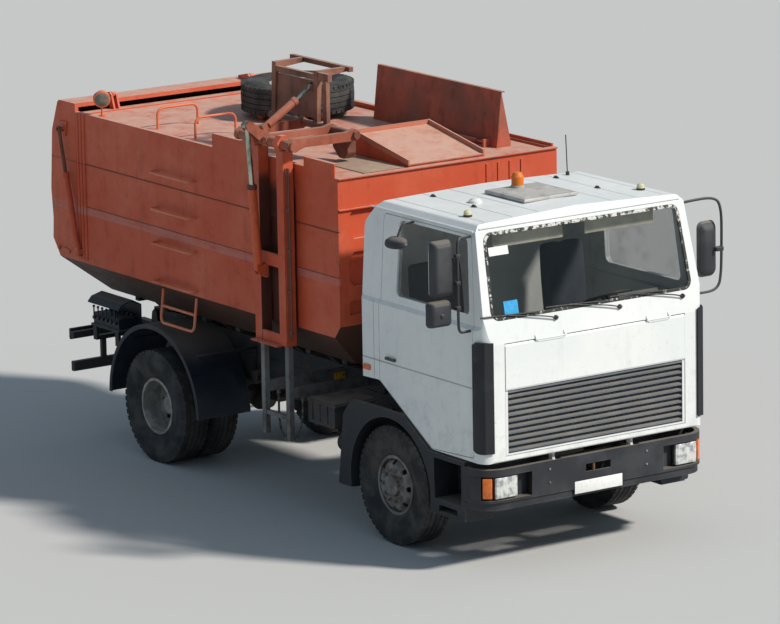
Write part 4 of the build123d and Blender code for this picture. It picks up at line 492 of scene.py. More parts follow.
def cab_lines(paint, tone):
    """Pressed lines along the roof, across the door and down the rear post, darkened as painted
    shade and sunk by a bump, and the handle.
    """
    x, z = paint.axis("X"), paint.axis("Z")
    across = paint.across()
    roof = band(paint, z, 3.06, 3.30) * band(paint, x, 1.90, 3.28)
    ribs = None
    for place in (0.40, 0.68, 0.98):
        rib = band(paint, across, place - 0.005, place + 0.005)
        ribs = rib if ribs is None else ribs + rib
    side = band(paint, across, 1.205, 1.30)
    crease = band(paint, z, 1.662, 1.672, 0.002) * band(paint, x, 1.70, 3.40)
    post = band(paint, x, 1.905, 1.911, 0.002) * band(paint, z, 1.45, 3.05)
    lines = ribs * roof + (crease + post) * side
    # Painted shade: the pressed lines are darkened grey, besides their bump.
    tone = paint.mix(lines * 0.55, tone, (0.30, 0.30, 0.29))
    handle = band(paint, x, 2.100, 2.262) * band(paint, z, 1.692, 1.730)
    handle = handle * paint.rise(across, 1.2205, 1.2215)
    return paint.mix(handle, tone, (0.035, 0.037, 0.040)), lines * -2.0


cab_white = worn_paint("cab_white", (0.74, 0.765, 0.755), (0.79, 0.80, 0.785), dirt=0.12, rust=0.10,
                       dust=0.02, rough=0.28, streaks=0.10, marks=cab_lines)
dress(cab_white, "cab_shell", "left_door", "right_door", "lift_panel")


# Cab trim: the windscreen's rubber seal with flaked white paint, its three wipers, the gutter,
# two blank paper patches behind the glass, and two sun visors.


def slab(low, high, soften=0.003, steps=2):
    """Block between two corners, its edges bevelled."""
    deselect()
    low, high = Vector(low), Vector(high)
    bpy.ops.mesh.primitive_cube_add(size=1, location=(low + high) / 2)
    piece = bpy.context.object
    piece.scale = high - low
    bpy.ops.object.transform_apply(location=True, rotation=True, scale=True)
    bpy.ops.object.mode_set(mode="EDIT")
    bpy.ops.mesh.select_all(action="SELECT")
    bpy.ops.mesh.bevel(offset=soften, segments=steps, affect="EDGES")
    bpy.ops.object.mode_set(mode="OBJECT")
    bpy.ops.object.shade_smooth_by_angle(angle=SMOOTH)
    return piece


def tube(name, points, radius, roundness, steps):
    """Round bar or hose whose line bends smoothly past its points, as a curve."""
    curve = bpy.data.curves.new(name + "_line", "CURVE")
    curve.dimensions = "3D"
    curve.bevel_depth = radius
    curve.bevel_resolution = roundness
    curve.use_fill_caps = True
    spline = curve.splines.new("NURBS")
    spline.points.add(len(points) - 1)
    for point, place in zip(spline.points, points):
        point.co = (*place, 1)
    spline.order_u = 3
    spline.resolution_u = steps
    spline.use_endpoint_u = True
    piece = bpy.data.objects.new(name, curve)
    bpy.context.collection.objects.link(piece)
    return piece


def bent(points, radius):
    """Round bar whose line bends smoothly past its points, as a mesh."""
    piece = tube("bent", points, radius, 3, 6)
    deselect()
    piece.select_set(True)
    bpy.context.view_layer.objects.active = piece
    bpy.ops.object.convert(target="MESH")
    bpy.ops.object.shade_smooth_by_angle(angle=math.radians(40))
    return bpy.context.object


SCREEN_FOOT = Vector((3.550, 0, 2.250))
SCREEN_HEAD = Vector((3.372, 0, 3.046))
screen_up = (SCREEN_HEAD - SCREEN_FOOT).normalized()
screen_out = Vector((screen_up.z, 0, -screen_up.x))


def on_screen(y, z, out):
    """Point over the windscreen's plane at a height, some way out from it."""
    share = (z - SCREEN_FOOT.z) / (SCREEN_HEAD.z - SCREEN_FOOT.z)
    return SCREEN_FOOT.lerp(SCREEN_HEAD, share) + screen_out * out + Vector((0, y, 0))


SEAL_CORNERS = ((-1.103, 2.264), (1.103, 2.264), (-1.068, 3.016), (1.068, 3.016))  # y, z

deselect()
bpy.ops.mesh.primitive_plane_add(size=2, location=(0, 0, 0))
seal = bpy.context.object
for vertex, (y, z) in zip(seal.data.vertices, SEAL_CORNERS):
    vertex.co = on_screen(y, z, -0.016)
bpy.ops.object.mode_set(mode="EDIT")
bpy.ops.mesh.select_all(action="SELECT")
bpy.ops.mesh.bevel(offset=0.09, segments=10, affect="VERTICES")
bpy.ops.mesh.select_all(action="SELECT")
bpy.ops.mesh.normals_make_consistent(inside=False)
bpy.ops.mesh.inset(thickness=0.030, depth=0)
bpy.ops.mesh.delete(type="FACE")
bpy.ops.mesh.select_all(action="SELECT")
bpy.ops.mesh.extrude_region_move(TRANSFORM_OT_translate={"value": screen_out * 0.019})
bpy.ops.mesh.select_all(action="SELECT")
bpy.ops.mesh.normals_make_consistent(inside=False)
bpy.ops.mesh.bevel(offset=0.004, segments=2, affect="EDGES")
bpy.ops.object.mode_set(mode="OBJECT")
bpy.ops.object.shade_smooth_by_angle(angle=SMOOTH)

seal_rubber = Finish("seal_rubber", roughness=0.75)
flake = seal_rubber.noise(22.0, 6.0, 0.7)
outward = seal_rubber.rise(seal_rubber.axis("Z"), 2.7, 3.0) * 0.10
flaked = seal_rubber.rise(flake + outward, 0.56, 0.62)
seal_rubber.feed(base_color=seal_rubber.mix(flaked, (0.030, 0.031, 0.030), (0.62, 0.62, 0.58)))
seal_rubber.bump(flaked, 0.0015)
settle(seal, "windscreen_seal", "cab", seal_rubber.material)

black_steel = Finish("black_steel", roughness=0.45)
black_steel.clouded((0.018, 0.018, 0.018), (0.09, 0.08, 0.07), 30.0, 5.0, 0.5, 0.7)
for number, y in enumerate((0.98, 0.28, -0.42)):
    pivot = Vector((3.556, y, 2.214))
    boss = aim(turned([(0.022, 0.0), (0.022, 0.012), (0.016, 0.020), (0.010, 0.034)], 20), pivot,
               (0.97, 0, 0.22))
    tip = on_screen(y - 0.52, 2.300, 0.012)
    knee = on_screen(y - 0.10, 2.240, 0.030)
    arm = bent([pivot + Vector((0.022, 0, 0)), knee, knee.lerp(tip, 0.5), tip], 0.006)
    blade = bent([on_screen(y - 0.80, 2.312, 0.010), on_screen(y - 0.50, 2.303, 0.013),
                  on_screen(y - 0.22, 2.288, 0.010)], 0.0075)
    settle(joined([boss, arm, blade]), f"wiper_{number + 1}", "cab", black_steel.material)


def mirror_span(side, low, high):
    """The two places along Y, in rising order, on one side of the truck."""
    return (low, high) if side > 0 else (-high, -low)


gutters = []
for side in (1, -1):
    low, high = mirror_span(side, 1.139, 1.153)
    gutters.append(slab((1.79, low, 3.028), (3.345, high, 3.042), 0.004))
gutters.append(slab((3.366, -1.10, 3.052), (3.380, 1.10, 3.064), 0.004))
settle(joined(gutters), "gutter", "cab", cab_white)

paper = Finish("blank_paper", roughness=0.7)
paper.clouded((0.80, 0.80, 0.78), (0.70, 0.70, 0.68), 40.0)
blue_card = Finish("blue_card", roughness=0.6)
blue_card.clouded((0.02, 0.30, 0.62), (0.04, 0.38, 0.70), 30.0)


def patch(name, y, z, finish):
    """Blank sheet on the glass, between two sides and two heights."""
    deselect()
    bpy.ops.mesh.primitive_plane_add(size=2, location=(0, 0, 0))
    sheet = bpy.context.object
    corners = ((y[0], z[0]), (y[1], z[0]), (y[0], z[1]), (y[1], z[1]))
    for vertex, (side, height) in zip(sheet.data.vertices, corners):
        vertex.co = on_screen(side, height, -0.0165)
    bpy.ops.object.mode_set(mode="EDIT")
    bpy.ops.mesh.select_all(action="SELECT")
    bpy.ops.mesh.extrude_region_move(TRANSFORM_OT_translate={"value": screen_out * 0.001})
    bpy.ops.mesh.select_all(action="SELECT")
    bpy.ops.mesh.bevel(offset=0.0003, segments=1, affect="EDGES")
    bpy.ops.mesh.normals_make_consistent(inside=False)
    bpy.ops.object.mode_set(mode="OBJECT")
    settle(sheet, name, "cab", finish.material)


patch("white_patch", (-1.02, -0.81), (2.815, 2.890), paper)
patch("blue_patch", (-0.94, -0.79), (2.300, 2.420), blue_card)

visor_cloth = Finish("visor_cloth", roughness=0.8)
visor_cloth.clouded((0.80, 0.77, 0.63), (0.66, 0.63, 0.52), 8.0)
visor_cloth.bump(visor_cloth.noise(300.0, 2.0), 0.0005)
for number, (low, high) in enumerate(((0.12, 0.88), (-0.88, -0.12))):
    visor = slab((3.255, low, 2.845), (3.272, high, 2.985), 0.007, 3)
    rail = bent([(3.262, low + 0.05, 2.99), (3.262, (low + high) / 2, 2.992),
                 (3.262, high - 0.05, 2.99)], 0.006)
    settle(joined([visor, rail]), f"sun_visor_{number + 1}", "cab", visor_cloth.material)


# Cab glass, dashboard and seats: tinted sheets with a film of dirt, and behind them a moulded
# dashboard, a driver's seat and a bench, sewn from cloth over foam on steel plinths.

glass = Finish("cab_glass", base_color=(0.012, 0.018, 0.017), ior=1.45)
film = glass.rise(glass.noise(3.0, 7.0), 0.50, 0.75)
glass.feed(roughness=film * 0.10 + 0.02, alpha=film * 0.10 + 0.20)
glass.material.surface_render_method = "BLENDED"
dress(glass.material, "windscreen", "left_door_glass", "right_door_glass")

board_grey = moulding("board_grey", (0.17, 0.19, 0.185), (0.26, 0.28, 0.27))
dress(board_grey, "dashboard")

SEATS = (
    # name, low y, high y
    ("driver", 0.43, 0.89), ("bench", -1.02, -0.47),
)
cloth = Finish("seat_cloth", roughness=0.9)
weave = cloth.noise(380.0, 2.0, 0.5, (1, 1, 0.4))
cloth.feed(base_color=cloth.mix(cloth.rise(weave, 0.35, 0.65), (0.045, 0.055, 0.075),
                                (0.095, 0.105, 0.125)))
cloth.bump(weave, 0.001)
plinth_grey = worn_paint("plinth_grey", (0.10, 0.10, 0.10), (0.14, 0.14, 0.135), dirt=0.4, rust=0.2)


def pad(name, low, high, crown, lean=0.0):
    """Sewn cushion: crowned on every side and drawn in along its middle seam."""
    piece = slab(low, high, 0.035, 4)
    low, high = Vector(low), Vector(high)
    bpy.ops.object.mode_set(mode="EDIT")
    bpy.ops.mesh.select_all(action="SELECT")
    bpy.ops.mesh.subdivide(number_cuts=5)
    bpy.ops.object.mode_set(mode="OBJECT")
    centre, half = (low + high) / 2, (high - low) / 2
    for vertex in piece.data.vertices:
        place = [(vertex.co[k] - centre[k]) / half[k] for k in range(3)]
        bulge = [max(0.0, 1 - value * value) for value in place]
        seam = crown * 0.9 * math.exp(-((vertex.co.y - centre.y) / 0.012) ** 2)
        for k in range(3):
            others = bulge[(k + 1) % 3] * bulge[(k + 2) % 3]
            vertex.co[k] += place[k] * (crown - seam) * others ** 0.6
        vertex.co.x += lean * (vertex.co.z - low.z)
    bpy.ops.object.shade_smooth_by_angle(angle=math.radians(60))
    settle(piece, name, "cab", cloth.material)


for label, low, high in SEATS:
    base = slab((2.33, low + 0.05, 1.406), (2.72, high - 0.05, 1.718), 0.008, 3)
    settle(base, label + "_seat_plinth", "cab", plinth_grey)
    if label == "driver":
        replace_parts(base, "seats")
    pad(label + "_cushion", (2.300, low + 0.012, 1.728), (2.785, high - 0.012, 1.835), 0.012)
    pad(label + "_back", (2.200, low + 0.012, 1.860), (2.300, high - 0.012, 2.530), 0.014, -0.10)


# Roof of the cab: the grey steel hatch with pressed ribs and the beacon bolted on it, the marker
# lamps, the white cap and small clips. Each lens is tinted where it stands.


def beacon_parts(paint, tone):
    """Amber where the dome stands."""
    dome = paint.rise(paint.axis("Z"), 3.176, 3.178)
    return paint.mix(dome, tone, (0.72, 0.17, 0.01)), None


vent_grey = worn_paint("vent_grey", (0.40, 0.40, 0.39), (0.50, 0.49, 0.47), dirt=0.4, rust=0.2,
                       rough=0.4, dust=0.2, marks=beacon_parts)
dress(vent_grey, "roof_vent_and_beacon")
ribs = [slab((2.56 + 0.036 * step, -0.25, 3.150), (2.572 + 0.036 * step, 0.25, 3.160), 0.003, 2)
        for step in range(10)]
settle(joined(ribs), "vent_ribs", "vent", vent_grey)

fitting = Finish("roof_fitting", roughness=0.4)
x, z = fitting.axis("X"), fitting.axis("Z")
tint = fitting.mix(fitting.rise(z, 1.62, 1.70), (0.72, 0.16, 0.025), (0.030, 0.028, 0.026))
marker = band(fitting, x, 2.90, 3.10) * fitting.rise(z, 3.112, 3.118)
tint = fitting.mix(marker, tint, (0.62, 0.58, 0.36))
cap = band(fitting, x, 2.48, 2.66) * fitting.rise(z, 3.0, 3.05)
tint = fitting.mix(cap, tint, (0.70, 0.71, 0.70))
soot = fitting.rise(fitting.noise(25.0, 6.0), 0.52, 0.70)
fitting.feed(base_color=fitting.mix(soot * 0.35, tint, (0.10, 0.085, 0.07)))
fitting.bump(soot, 0.001)
dress(fitting.material, "cab_roof_fittings")

clips = []
for x, y in ((2.10, -0.68), (2.72, -0.68), (2.10, 0.68), (2.72, 0.68)):
    clips.append(slab((x - 0.03, y - 0.012, 3.098), (x + 0.03, y + 0.012, 3.114), 0.003))
    clips.append(slab((x - 0.012, y - 0.018, 3.112), (x + 0.022, y + 0.004, 3.126), 0.004))
settle(joined(clips), "roof_clips", "cab", black_steel.material)


# Lamps: each headlamp is a fluted cover in a black housing, its pale patchy colour a painted
# reflection of a lamp's reflector. The amber turn lamp follows the bumper's corner, and a painted
# corner panel closes the recess. The tail lamps are moulded boxes with ribbed lenses on the rear
# cross member.

BEND = Vector((3.370, 1.020, 0))  # centre of the bumper's round corner
BEND_R = 0.230  # its radius


def wrapped(side, turns, heights, depth, proud, soften=0.003):
    """Panel round the bumper's corner between two angles, in degrees from straight ahead."""
    deselect()
    bpy.ops.mesh.primitive_grid_add(x_subdivisions=10, y_subdivisions=2, size=2, location=(0, 0, 0))
    piece = bpy.context.object
    radius = BEND_R + proud
    for vertex in piece.data.vertices:
        share = (vertex.co.x + 1) / 2
        angle = math.radians(turns[0] + (turns[1] - turns[0]) * share)
        height = sum(heights) / 2 + vertex.co.y * (heights[1] - heights[0]) / 2
        vertex.co = (BEND.x + radius * math.cos(angle),
                     side * (BEND.y + radius * math.sin(angle)), height)
    thickened(piece, depth, side < 0)
    rounding = piece.modifiers.new("rounding", "BEVEL")
    rounding.width = soften
    rounding.segments = 2
    bpy.ops.object.modifier_apply(modifier="rounding")
    bpy.ops.object.shade_smooth_by_angle(angle=SMOOTH)
    return piece


lens = Finish("lamp_lens", roughness=0.08, coat_weight=1.0)
# Painted reflection: the cover's base colour wanders between grey and near white, for the reflector
# seen through the glass.
reflection_patches = lens.noise(16.0, 3.0, 0.5)
reflection_tone = lens.mix(lens.rise(reflection_patches, 0.38, 0.62), (0.36, 0.38, 0.39), (0.80, 0.80, 0.76))
lens.feed(base_color=reflection_tone, metallic=0.35, roughness=reflection_patches * 0.2 + 0.05)
lens.bump(lens.ribs("Y", 360.0), 0.0012)

amber = Finish("amber_lens", roughness=0.2, coat_weight=0.6)
amber.clouded((0.80, 0.17, 0.012), (0.60, 0.11, 0.010), 20.0)
amber.bump(amber.ribs("Z", 700.0), 0.0008)
red_lens = Finish("red_lens", roughness=0.2, coat_weight=0.6)
red_lens.clouded((0.40, 0.012, 0.010), (0.26, 0.012, 0.010), 20.0)
red_lens.bump(red_lens.ribs("Y", 700.0), 0.0008)

for side, word in ((1, "left"), (-1, "right")):
    low, high = mirror_span(side, 0.868, 1.112)
    ends = mirror_span(side, 0.716, 0.7245)
    bowl = joined([slab((3.520, low, 0.680), (3.562, high, 0.880), 0.006, 3),
                   slab((3.510, ends[0], 0.668), (3.594, ends[1], 0.892), 0.001)])
    settle(bowl, word + "_headlamp_housing", "chassis", black_steel.material)
    cover = slab((3.560, low + 0.004, 0.684), (3.590, high - 0.004, 0.876), 0.012, 4)
    settle(cover, word + "_headlamp", "chassis", lens.material)
    if side > 0:
        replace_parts(cover, "lamps")
    turn_lamp = wrapped(side, (30, 52), (0.690, 0.872), 0.040, 0.002, 0.008)
    settle(turn_lamp, word + "_turn_lamp", "chassis", amber.material)
    corner = wrapped(side, (55, 90), (0.6725, 0.8875), 0.014, 0.0)
    settle(corner, word + "_bumper_corner", "chassis", bumper_paint)
    low, high = mirror_span(side, 0.670, 1.205)
    box = slab((-3.376, low, 0.930), (-3.3453, high, 1.040), 0.008, 3)
    settle(box, word + "_tail_lamp_box", "chassis", black_steel.material)
    for inner, outer, name, tint in (
        # inner and outer place along Y, name, finish
        (0.675, 0.850, "tail", red_lens),
        (0.856, 1.020, "stop", red_lens),
        (1.026, 1.200, "rear_turn", amber),
    ):
        low, high = mirror_span(side, inner, outer)
        field = slab((-3.386, low, 0.937), (-3.374, high, 1.033), 0.004, 2)
        settle(field, f"{word}_{name}_lens", "chassis", tint.material)


# Bumper fittings: turned steel bolts in pairs, the pin in the tow slot, and a blank plate on a
# black moulded frame.

FRONT_X = 3.600  # the bumper's front face

bolts = []
for y in (0.535, -0.535):
    for z in (0.755, 0.875):
        bolt = turned([(0.012, 0.0), (0.012, 0.007), (0.008, 0.010)], 6)
        bolts.append(aim(bolt, (FRONT_X, y, z), (1, 0, 0)))
settle(joined(bolts), "bumper_bolts", "chassis", rim_grey)

rusty = worn_paint("rusty_steel", (0.15, 0.060, 0.030), (0.22, 0.10, 0.05), dirt=0.5, rust=0.9,
                   rough=0.7)
pin = aim(turned([(0.013, 0.0), (0.013, 0.08), (0.016, 0.082), (0.016, 0.09), (0.006, 0.094)], 16),
          (3.575, -0.035, 0.786), (0, 0, 1))
settle(pin, "tow_pin", "chassis", rusty)

plate = slab((FRONT_X - 0.002, -0.262, 0.604), (FRONT_X + 0.003, 0.262, 0.716), 0.0015)
plate_frame = slab((FRONT_X - 0.004, -0.268, 0.598), (FRONT_X, 0.268, 0.722), 0.0015)
settle(plate_frame, "plate_frame", "chassis", black_steel.material)
settle(plate, "blank_plate", "chassis", paper.material)


# Mirrors: moulded housings with the glass in their rear faces, on black tube arms with clamps.
# The right door has a tall mirror, a wide one below and a kerb mirror, the left door a large one.

silver = Finish("mirror_glass", base_color=(0.75, 0.78, 0.80), metallic=1.0)
silver.feed(roughness=silver.rise(silver.noise(12.0), 0.45, 0.8) * 0.2 + 0.03)
housing = moulding("mirror_housing", (0.026, 0.028, 0.033), (0.052, 0.054, 0.058))


def housing_piece(x, y, z, soften, taper):
    """Rounded shell whose rear edge is as wide as given and whose front face is narrower."""
    shell = slab((x[0], y[0], z[0]), (x[1], y[1], z[1]), soften, 5)
    centre = Vector((0, (y[0] + y[1]) / 2, (z[0] + z[1]) / 2))
    for vertex in shell.data.vertices:
        ahead = max(0.0, (vertex.co.x - x[0]) / (x[1] - x[0]) - 0.3) / 0.7
        vertex.co.y = centre.y + (vertex.co.y - centre.y) * (1 - taper * ahead)
        vertex.co.z = centre.z + (vertex.co.z - centre.z) * (1 - taper * 0.6 * ahead)
    return shell


right = [
    housing_piece((3.275, 3.385), (-1.585, -1.360), (2.500, 3.000), 0.035, 0.22),
    housing_piece((3.270, 3.380), (-1.625, -1.375), (2.235, 2.470), 0.040, 0.18),
    slab((3.374, -1.520, 2.330), (3.392, -1.490, 2.360), 0.003),
    bent([(3.300, -1.146, 2.990), (3.350, -1.230, 3.000), (3.398, -1.345, 3.010),
          (3.400, -1.350, 2.900), (3.400, -1.350, 2.600), (3.400, -1.350, 2.300),
          (3.398, -1.345, 2.180), (3.395, -1.270, 2.176), (3.390, -1.207, 2.178)], 0.0125),
]
for z in (2.86, 2.62, 2.40):
    right.append(slab((3.372, -1.374, z - 0.015), (3.418, -1.330, z + 0.015), 0.004))
kerb = turned([(0.150, 0.0), (0.150, 0.012), (0.135, 0.036), (0.095, 0.056), (0.04, 0.066)], 40)
kerb.scale = (1, 0.55, 1)
kerb.rotation_euler = (math.radians(18), 0, 0)
kerb.location = (2.450, -1.325, 2.808)
right.append(kerb)
right.append(bent([(2.452, -1.138, 2.985), (2.452, -1.200, 2.995), (2.452, -1.285, 2.975),
                   (2.450, -1.320, 2.870)], 0.010))
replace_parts(settle(joined(right), "right_mirror_set", "right_door_set", housing), "right_mirrors")
faces = [slab((3.2715, -1.570, 2.525), (3.2765, -1.375, 2.975), 0.002),
         slab((3.2665, -1.607, 2.262), (3.2715, -1.393, 2.443), 0.002)]
settle(joined(faces), "right_mirror_glass", "right_door_set", silver.material)

left = [
    housing_piece((3.262, 3.355), (1.345, 1.560), (2.280, 2.800), 0.060, 0.30),
    bent([(3.300, 1.146, 2.990), (3.330, 1.260, 3.010), (3.360, 1.520, 3.015),
          (3.380, 1.566, 2.900), (3.380, 1.566, 2.600), (3.380, 1.560, 2.300),
          (3.385, 1.520, 2.180), (3.390, 1.350, 2.160), (3.390, 1.207, 2.178)], 0.0125),
    slab((3.340, 1.500, 2.520), (3.395, 1.582, 2.560), 0.006),
]
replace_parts(settle(joined(left), "left_mirror_set", "left_door_set", housing), "left_mirrors")
face = slab((3.2575, 1.385, 2.330), (3.2635, 1.520, 2.750), 0.002)
settle(face, "left_mirror_glass", "left_door_set", silver.material)


# Refuse body, tailgate, deflector, hatch lid and loader: welded steel sheet in orange that has
# faded to salmon, with a paler stripe along each side, pink dust on every top, dirt low down, and
# painted shade on the slanted underside, under the side seam, behind the mast and inside the mast's
# rear post. The rails and steps carry a painted highlight. The arm and the claw are rustier, and
# the rods are ground steel.

PINK_DUST = (0.58, 0.36, 0.28)


def body_lines(paint, tone):
    """The sides' faded stripe and dirt low down, and painted shade under the lap seam, on faces
    that look down and on the body side behind the mast.
    """
    x, y, z = (paint.axis(letter) for letter in "XYZ")
    side = paint.rise(paint.across(), 1.195, 1.205)
    worn = paint.rise(paint.noise(5.0, 6.0, 0.7, (0.4, 1, 3)), 0.30, 0.55)
    stripe = band(paint, z, 2.235, 2.308, 0.004) * side * worn
    tone = paint.mix(stripe * 0.60, tone, (0.46, 0.19, 0.165))
    under = (1 - paint.rise(z, 1.56, 1.72)) * paint.rise(paint.noise(4.0, 6.0, 0.7), 0.25, 0.5)
    tone = paint.mix(under * 0.35, tone, (0.085, 0.060, 0.034))
    # Painted shade: faces that look down are darkened almost to black.
    downward_shade = 1 - paint.rise(paint.upward(), -0.45, -0.20)
    tone = paint.mix(downward_shade * 0.92, tone, (0.030, 0.026, 0.017))
    # Painted shade: the body side behind the mast is darkened almost to black.
    mast_shade = band(paint, x, 0.262, 0.700, 0.02) * band(paint, z, 1.36, 3.02, 0.08)
    mast_shade = mast_shade * (1 - paint.rise(y, -1.205, -1.195))
    tone = paint.mix(mast_shade * 0.88, tone, (0.020, 0.016, 0.014))
    # Painted shadow: a dark line under the lap joint, where the upper panel stands out.
    seam = band(paint, z, 2.722, 2.738, 0.003) * side
    return paint.mix(seam * 0.5, tone, (0.16, 0.030, 0.015)), seam * -0.6


def mast_pipes(paint, tone):
    """The pipes down its front edge are dark, and the rear post's inside is darkened as painted
    shade.
    """
    pipes = band(paint, paint.axis("X"), 0.7005, 0.7800)
    pipes = pipes * (1 - paint.rise(paint.axis("Y"), -1.312, -1.300))
    tone = paint.mix(pipes * 0.85, tone, (0.085, 0.045, 0.030))
    # Painted shade: the inner face of the mast's rear post is darkened.
    inside = band(paint, paint.axis("X"), 0.292, 0.306)
    inside = inside * band(paint, paint.axis("Z"), 1.40, 3.12, 0.06)
    return paint.mix(inside * 0.9, tone, (0.030, 0.018, 0.014)), None


def barrel_gland(paint, tone):
    """The gland at the barrel's head is black."""
    gland = band(paint, paint.axis("Z"), 3.005, 3.060)
    gland = gland * (1 - paint.rise(paint.axis("Y"), -1.40, -1.39))
    return paint.mix(gland, tone, (0.030, 0.028, 0.027)), None


body_orange = worn_paint("body_orange", (0.55, 0.078, 0.026), (0.60, 0.120, 0.055), dirt=0.40,
                         rust=0.50, dust=0.92, rough=0.48, streaks=0.30, top_dust=PINK_DUST,
                         marks=body_lines)
mast_orange = worn_paint("mast_orange", (0.55, 0.078, 0.026), (0.60, 0.120, 0.055), dirt=0.55,
                         rust=0.7, dust=0.6, rough=0.48, streaks=0.3, top_dust=PINK_DUST,
                         marks=mast_pipes)
barrel_orange = worn_paint("barrel_orange", (0.62, 0.090, 0.020), (0.60, 0.12, 0.05), dirt=0.75,
                           rust=0.3, dust=0.2, rough=0.42, streaks=0.6, marks=barrel_gland)
arm_orange = worn_paint("arm_orange", (0.27, 0.060, 0.030), (0.40, 0.130, 0.075), dirt=0.85,
                        rust=0.95, dust=0.45, rough=0.60, streaks=0.4, top_dust=(0.40, 0.29, 0.22))
claw_rust = worn_paint("claw_rust", (0.15, 0.050, 0.032), (0.30, 0.13, 0.085), dirt=0.9, rust=0.95,
                       dust=0.55, rough=0.65, streaks=0.5, top_dust=(0.42, 0.32, 0.25))
lid_orange = worn_paint("lid_orange", (0.48, 0.16, 0.095), (0.56, 0.26, 0.18), dirt=0.5,
                        rust=0.8, dust=0.85, rough=0.55, streaks=0.1, top_dust=PINK_DUST)
# Painted highlight: the rails and steps are a paler, lighter orange than the body's paint.
hand_orange = worn_paint("hand_orange", (0.66, 0.150, 0.065), (0.70, 0.22, 0.12), dirt=0.35,
                         rust=0.5, dust=0.06, rough=0.45, streaks=0.1, top_dust=PINK_DUST)
deflector_orange = worn_paint("deflector_orange", (0.44, 0.100, 0.052), (0.23, 0.080, 0.052),
                              dirt=0.8, rust=0.7, dust=0.4, rough=0.5, streaks=0.7,
                              top_dust=PINK_DUST)
rail_grey = worn_paint("rail_grey", (0.13, 0.135, 0.14), (0.20, 0.20, 0.195), dirt=0.7, rust=0.6,
                       dust=0.5, rough=0.5)
dress(body_orange, "body_shell", "body_front", "body_roof", "tailgate")
dress(mast_orange, "mast", "tailgate_barrels")
dress(barrel_orange, "lift_barrel")
dress(deflector_orange, "deflector")
dress(lid_orange, "hatch_lid")
dress(arm_orange, "arm", "tipping_barrel", "tilt_barrel")
dress(claw_rust, "gripper", "tailgate_rods")
dress(hand_orange, "steps_and_rails")
dress(rail_grey, "mast_guide")

ground_rod = Finish("ground_rod", metallic=1.0)
smear = ground_rod.noise(18.0, 5.0, 0.6, (1, 1, 0.3))
ground_rod.feed(base_color=ground_rod.mix(ground_rod.rise(smear, 0.42, 0.66), (0.46, 0.50, 0.42),
                                          (0.16, 0.19, 0.15)), roughness=smear * 0.4 + 0.08)
ground_rod.bump(smear, 0.0004)
dress(ground_rod.material, "lift_rod", "tilt_rod", "tipping_rod")


# Body fittings: the work lamp's head, turned from sheet, with its dull glass, the yellow blank
# tag on the mast's guide, and the dirty steel plate laid on the roof beside the lid.

dull_glass = Finish("dull_glass", roughness=0.25, coat_weight=0.5)
dull_glass.clouded((0.10, 0.10, 0.085), (0.22, 0.20, 0.16), 12.0)
lamp_at, lamp_way = Vector((-2.795, -1.105, 3.385)), Vector((0.80, -0.52, -0.22)).normalized()
head = aim(turned([(0.030, -0.075), (0.062, -0.050), (0.074, -0.010), (0.076, 0.030),
                   (0.082, 0.034), (0.082, 0.046), (0.070, 0.050)], 36), lamp_at, lamp_way)
settle(head, "work_lamp_head", "load_body", hand_orange)
eye = aim(turned([(0.070, 0.046), (0.068, 0.051), (0.040, 0.058), (0.010, 0.060)], 36), lamp_at,
          lamp_way)
settle(eye, "work_lamp_glass", "load_body", dull_glass.material)

yellow = Finish("yellow_tag", roughness=0.5)
yellow.clouded((0.72, 0.42, 0.02), (0.20, 0.13, 0.05), 40.0, 6.0, 0.5, 0.65)
tag = slab((0.2615, -0.545, 1.064), (0.2665, -0.415, 1.146), 0.001)
settle(tag, "yellow_tag", "load_body", yellow.material)

plate_paint = worn_paint("lid_plate", (0.24, 0.15, 0.10), (0.42, 0.29, 0.20), dirt=0.9, rust=0.9,
                         dust=0.6, rough=0.7, top_dust=(0.46, 0.35, 0.26))
roof_plate = slab((0.52, -0.830, 3.2010), (1.230, -0.370, 3.2075), 0.002)
settle(roof_plate, "roof_plate", "load_body", plate_paint)


# Loader hose: a rubber hydraulic hose that hangs slack between the two bracket arms.

HOSE = ((0.240, -1.150, 1.040), (0.240, -1.150, 0.930), (0.250, -1.158, 0.800),
        (0.310, -1.172, 0.680), (0.420, -1.180, 0.622), (0.540, -1.176, 0.664),
        (0.620, -1.162, 0.790), (0.640, -1.150, 0.925), (0.640, -1.150, 1.040))
HOSE_THICK = 0.022
hose = tube("loader_hose_dressed", HOSE, HOSE_THICK / 2, 4, 12)
hose_rubber = Finish("hose_rubber", roughness=0.6)
caked = hose_rubber.clouded((0.045, 0.043, 0.040), (0.20, 0.18, 0.15), 30.0, 6.0, 0.42, 0.68)
hose_rubber.bump(caked, 0.001)
hose.data.materials.append(hose_rubber.material)
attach(hose, "load_body")
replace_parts(hose, "loader_hose")


# Stage: a plain pale floor, a soft sun from the truck's left front and a pale sky.

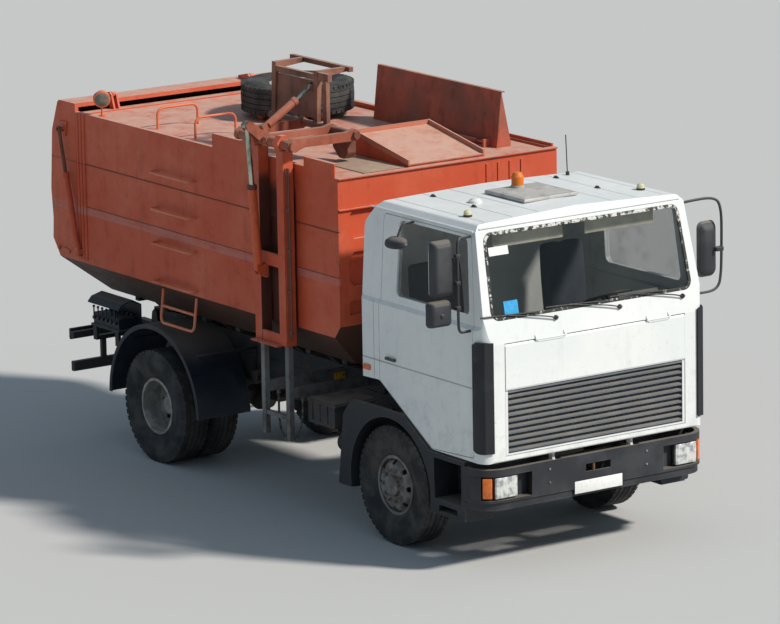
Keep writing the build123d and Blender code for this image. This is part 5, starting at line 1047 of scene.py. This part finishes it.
deselect()
bpy.ops.mesh.primitive_plane_add(size=240, location=(0, 0, 0))
floor = bpy.context.object
floor.name = "floor"
floor_finish = Finish("pale_floor", base_color=(0.52, 0.52, 0.51), roughness=0.9)
floor.data.materials.append(floor_finish.material)

world = bpy.data.worlds.new("sky")
bpy.context.scene.world = world
world.use_nodes = True
sky = world.node_tree.nodes["Background"]
sky.inputs["Color"].default_value = (0.62, 0.81, 1.0, 1)
sky.inputs["Strength"].default_value = 0.36

bpy.ops.object.light_add(type="SUN", location=(0, 0, 20))
sun = bpy.context.object
sun.data.energy = 4.1
sun.data.angle = math.radians(6)
sun.data.color = (1.0, 0.95, 0.88)
sun_from = Vector((0.66, 0.46, 0.70))
sun.matrix_world = sun_from.to_track_quat("Z", "Y").to_matrix().to_4x4()


# Camera: where the photo's camera stood and how it was turned, with its focal length and the
# shift of its frame in the picture's pixels.

EYE = Vector((39.714, -27.122, 12.084))
YAW, PITCH, ROLL = (math.radians(a) for a in (145.55, -12.37, -1.06))
FRAME_W, FOCAL_PX = 780, 5264.3
SHIFT_PX = (13.56, 6.721)
forward = Vector((math.cos(YAW) * math.cos(PITCH), math.sin(YAW) * math.cos(PITCH),
                  math.sin(PITCH)))
level = forward.cross(Vector((0, 0, 1))).normalized()
upright = level.cross(forward)
across = level * math.cos(ROLL) + upright * math.sin(ROLL)
upward = upright * math.cos(ROLL) - level * math.sin(ROLL)
camera_data = bpy.data.cameras.new("camera")
camera = bpy.data.objects.new("camera", camera_data)
bpy.context.scene.collection.objects.link(camera)
camera.matrix_world = Matrix((
    (across.x, upward.x, -forward.x, EYE.x),
    (across.y, upward.y, -forward.y, EYE.y),
    (across.z, upward.z, -forward.z, EYE.z),
    (0, 0, 0, 1),
))
camera_data.sensor_width = 36
camera_data.lens = 36 * FOCAL_PX / FRAME_W
camera_data.shift_x, camera_data.shift_y = (shift / FRAME_W for shift in SHIFT_PX)
camera_data.clip_end = 400
bpy.context.scene.camera = camera
bpy.context.scene.view_settings.view_transform = "Standard"
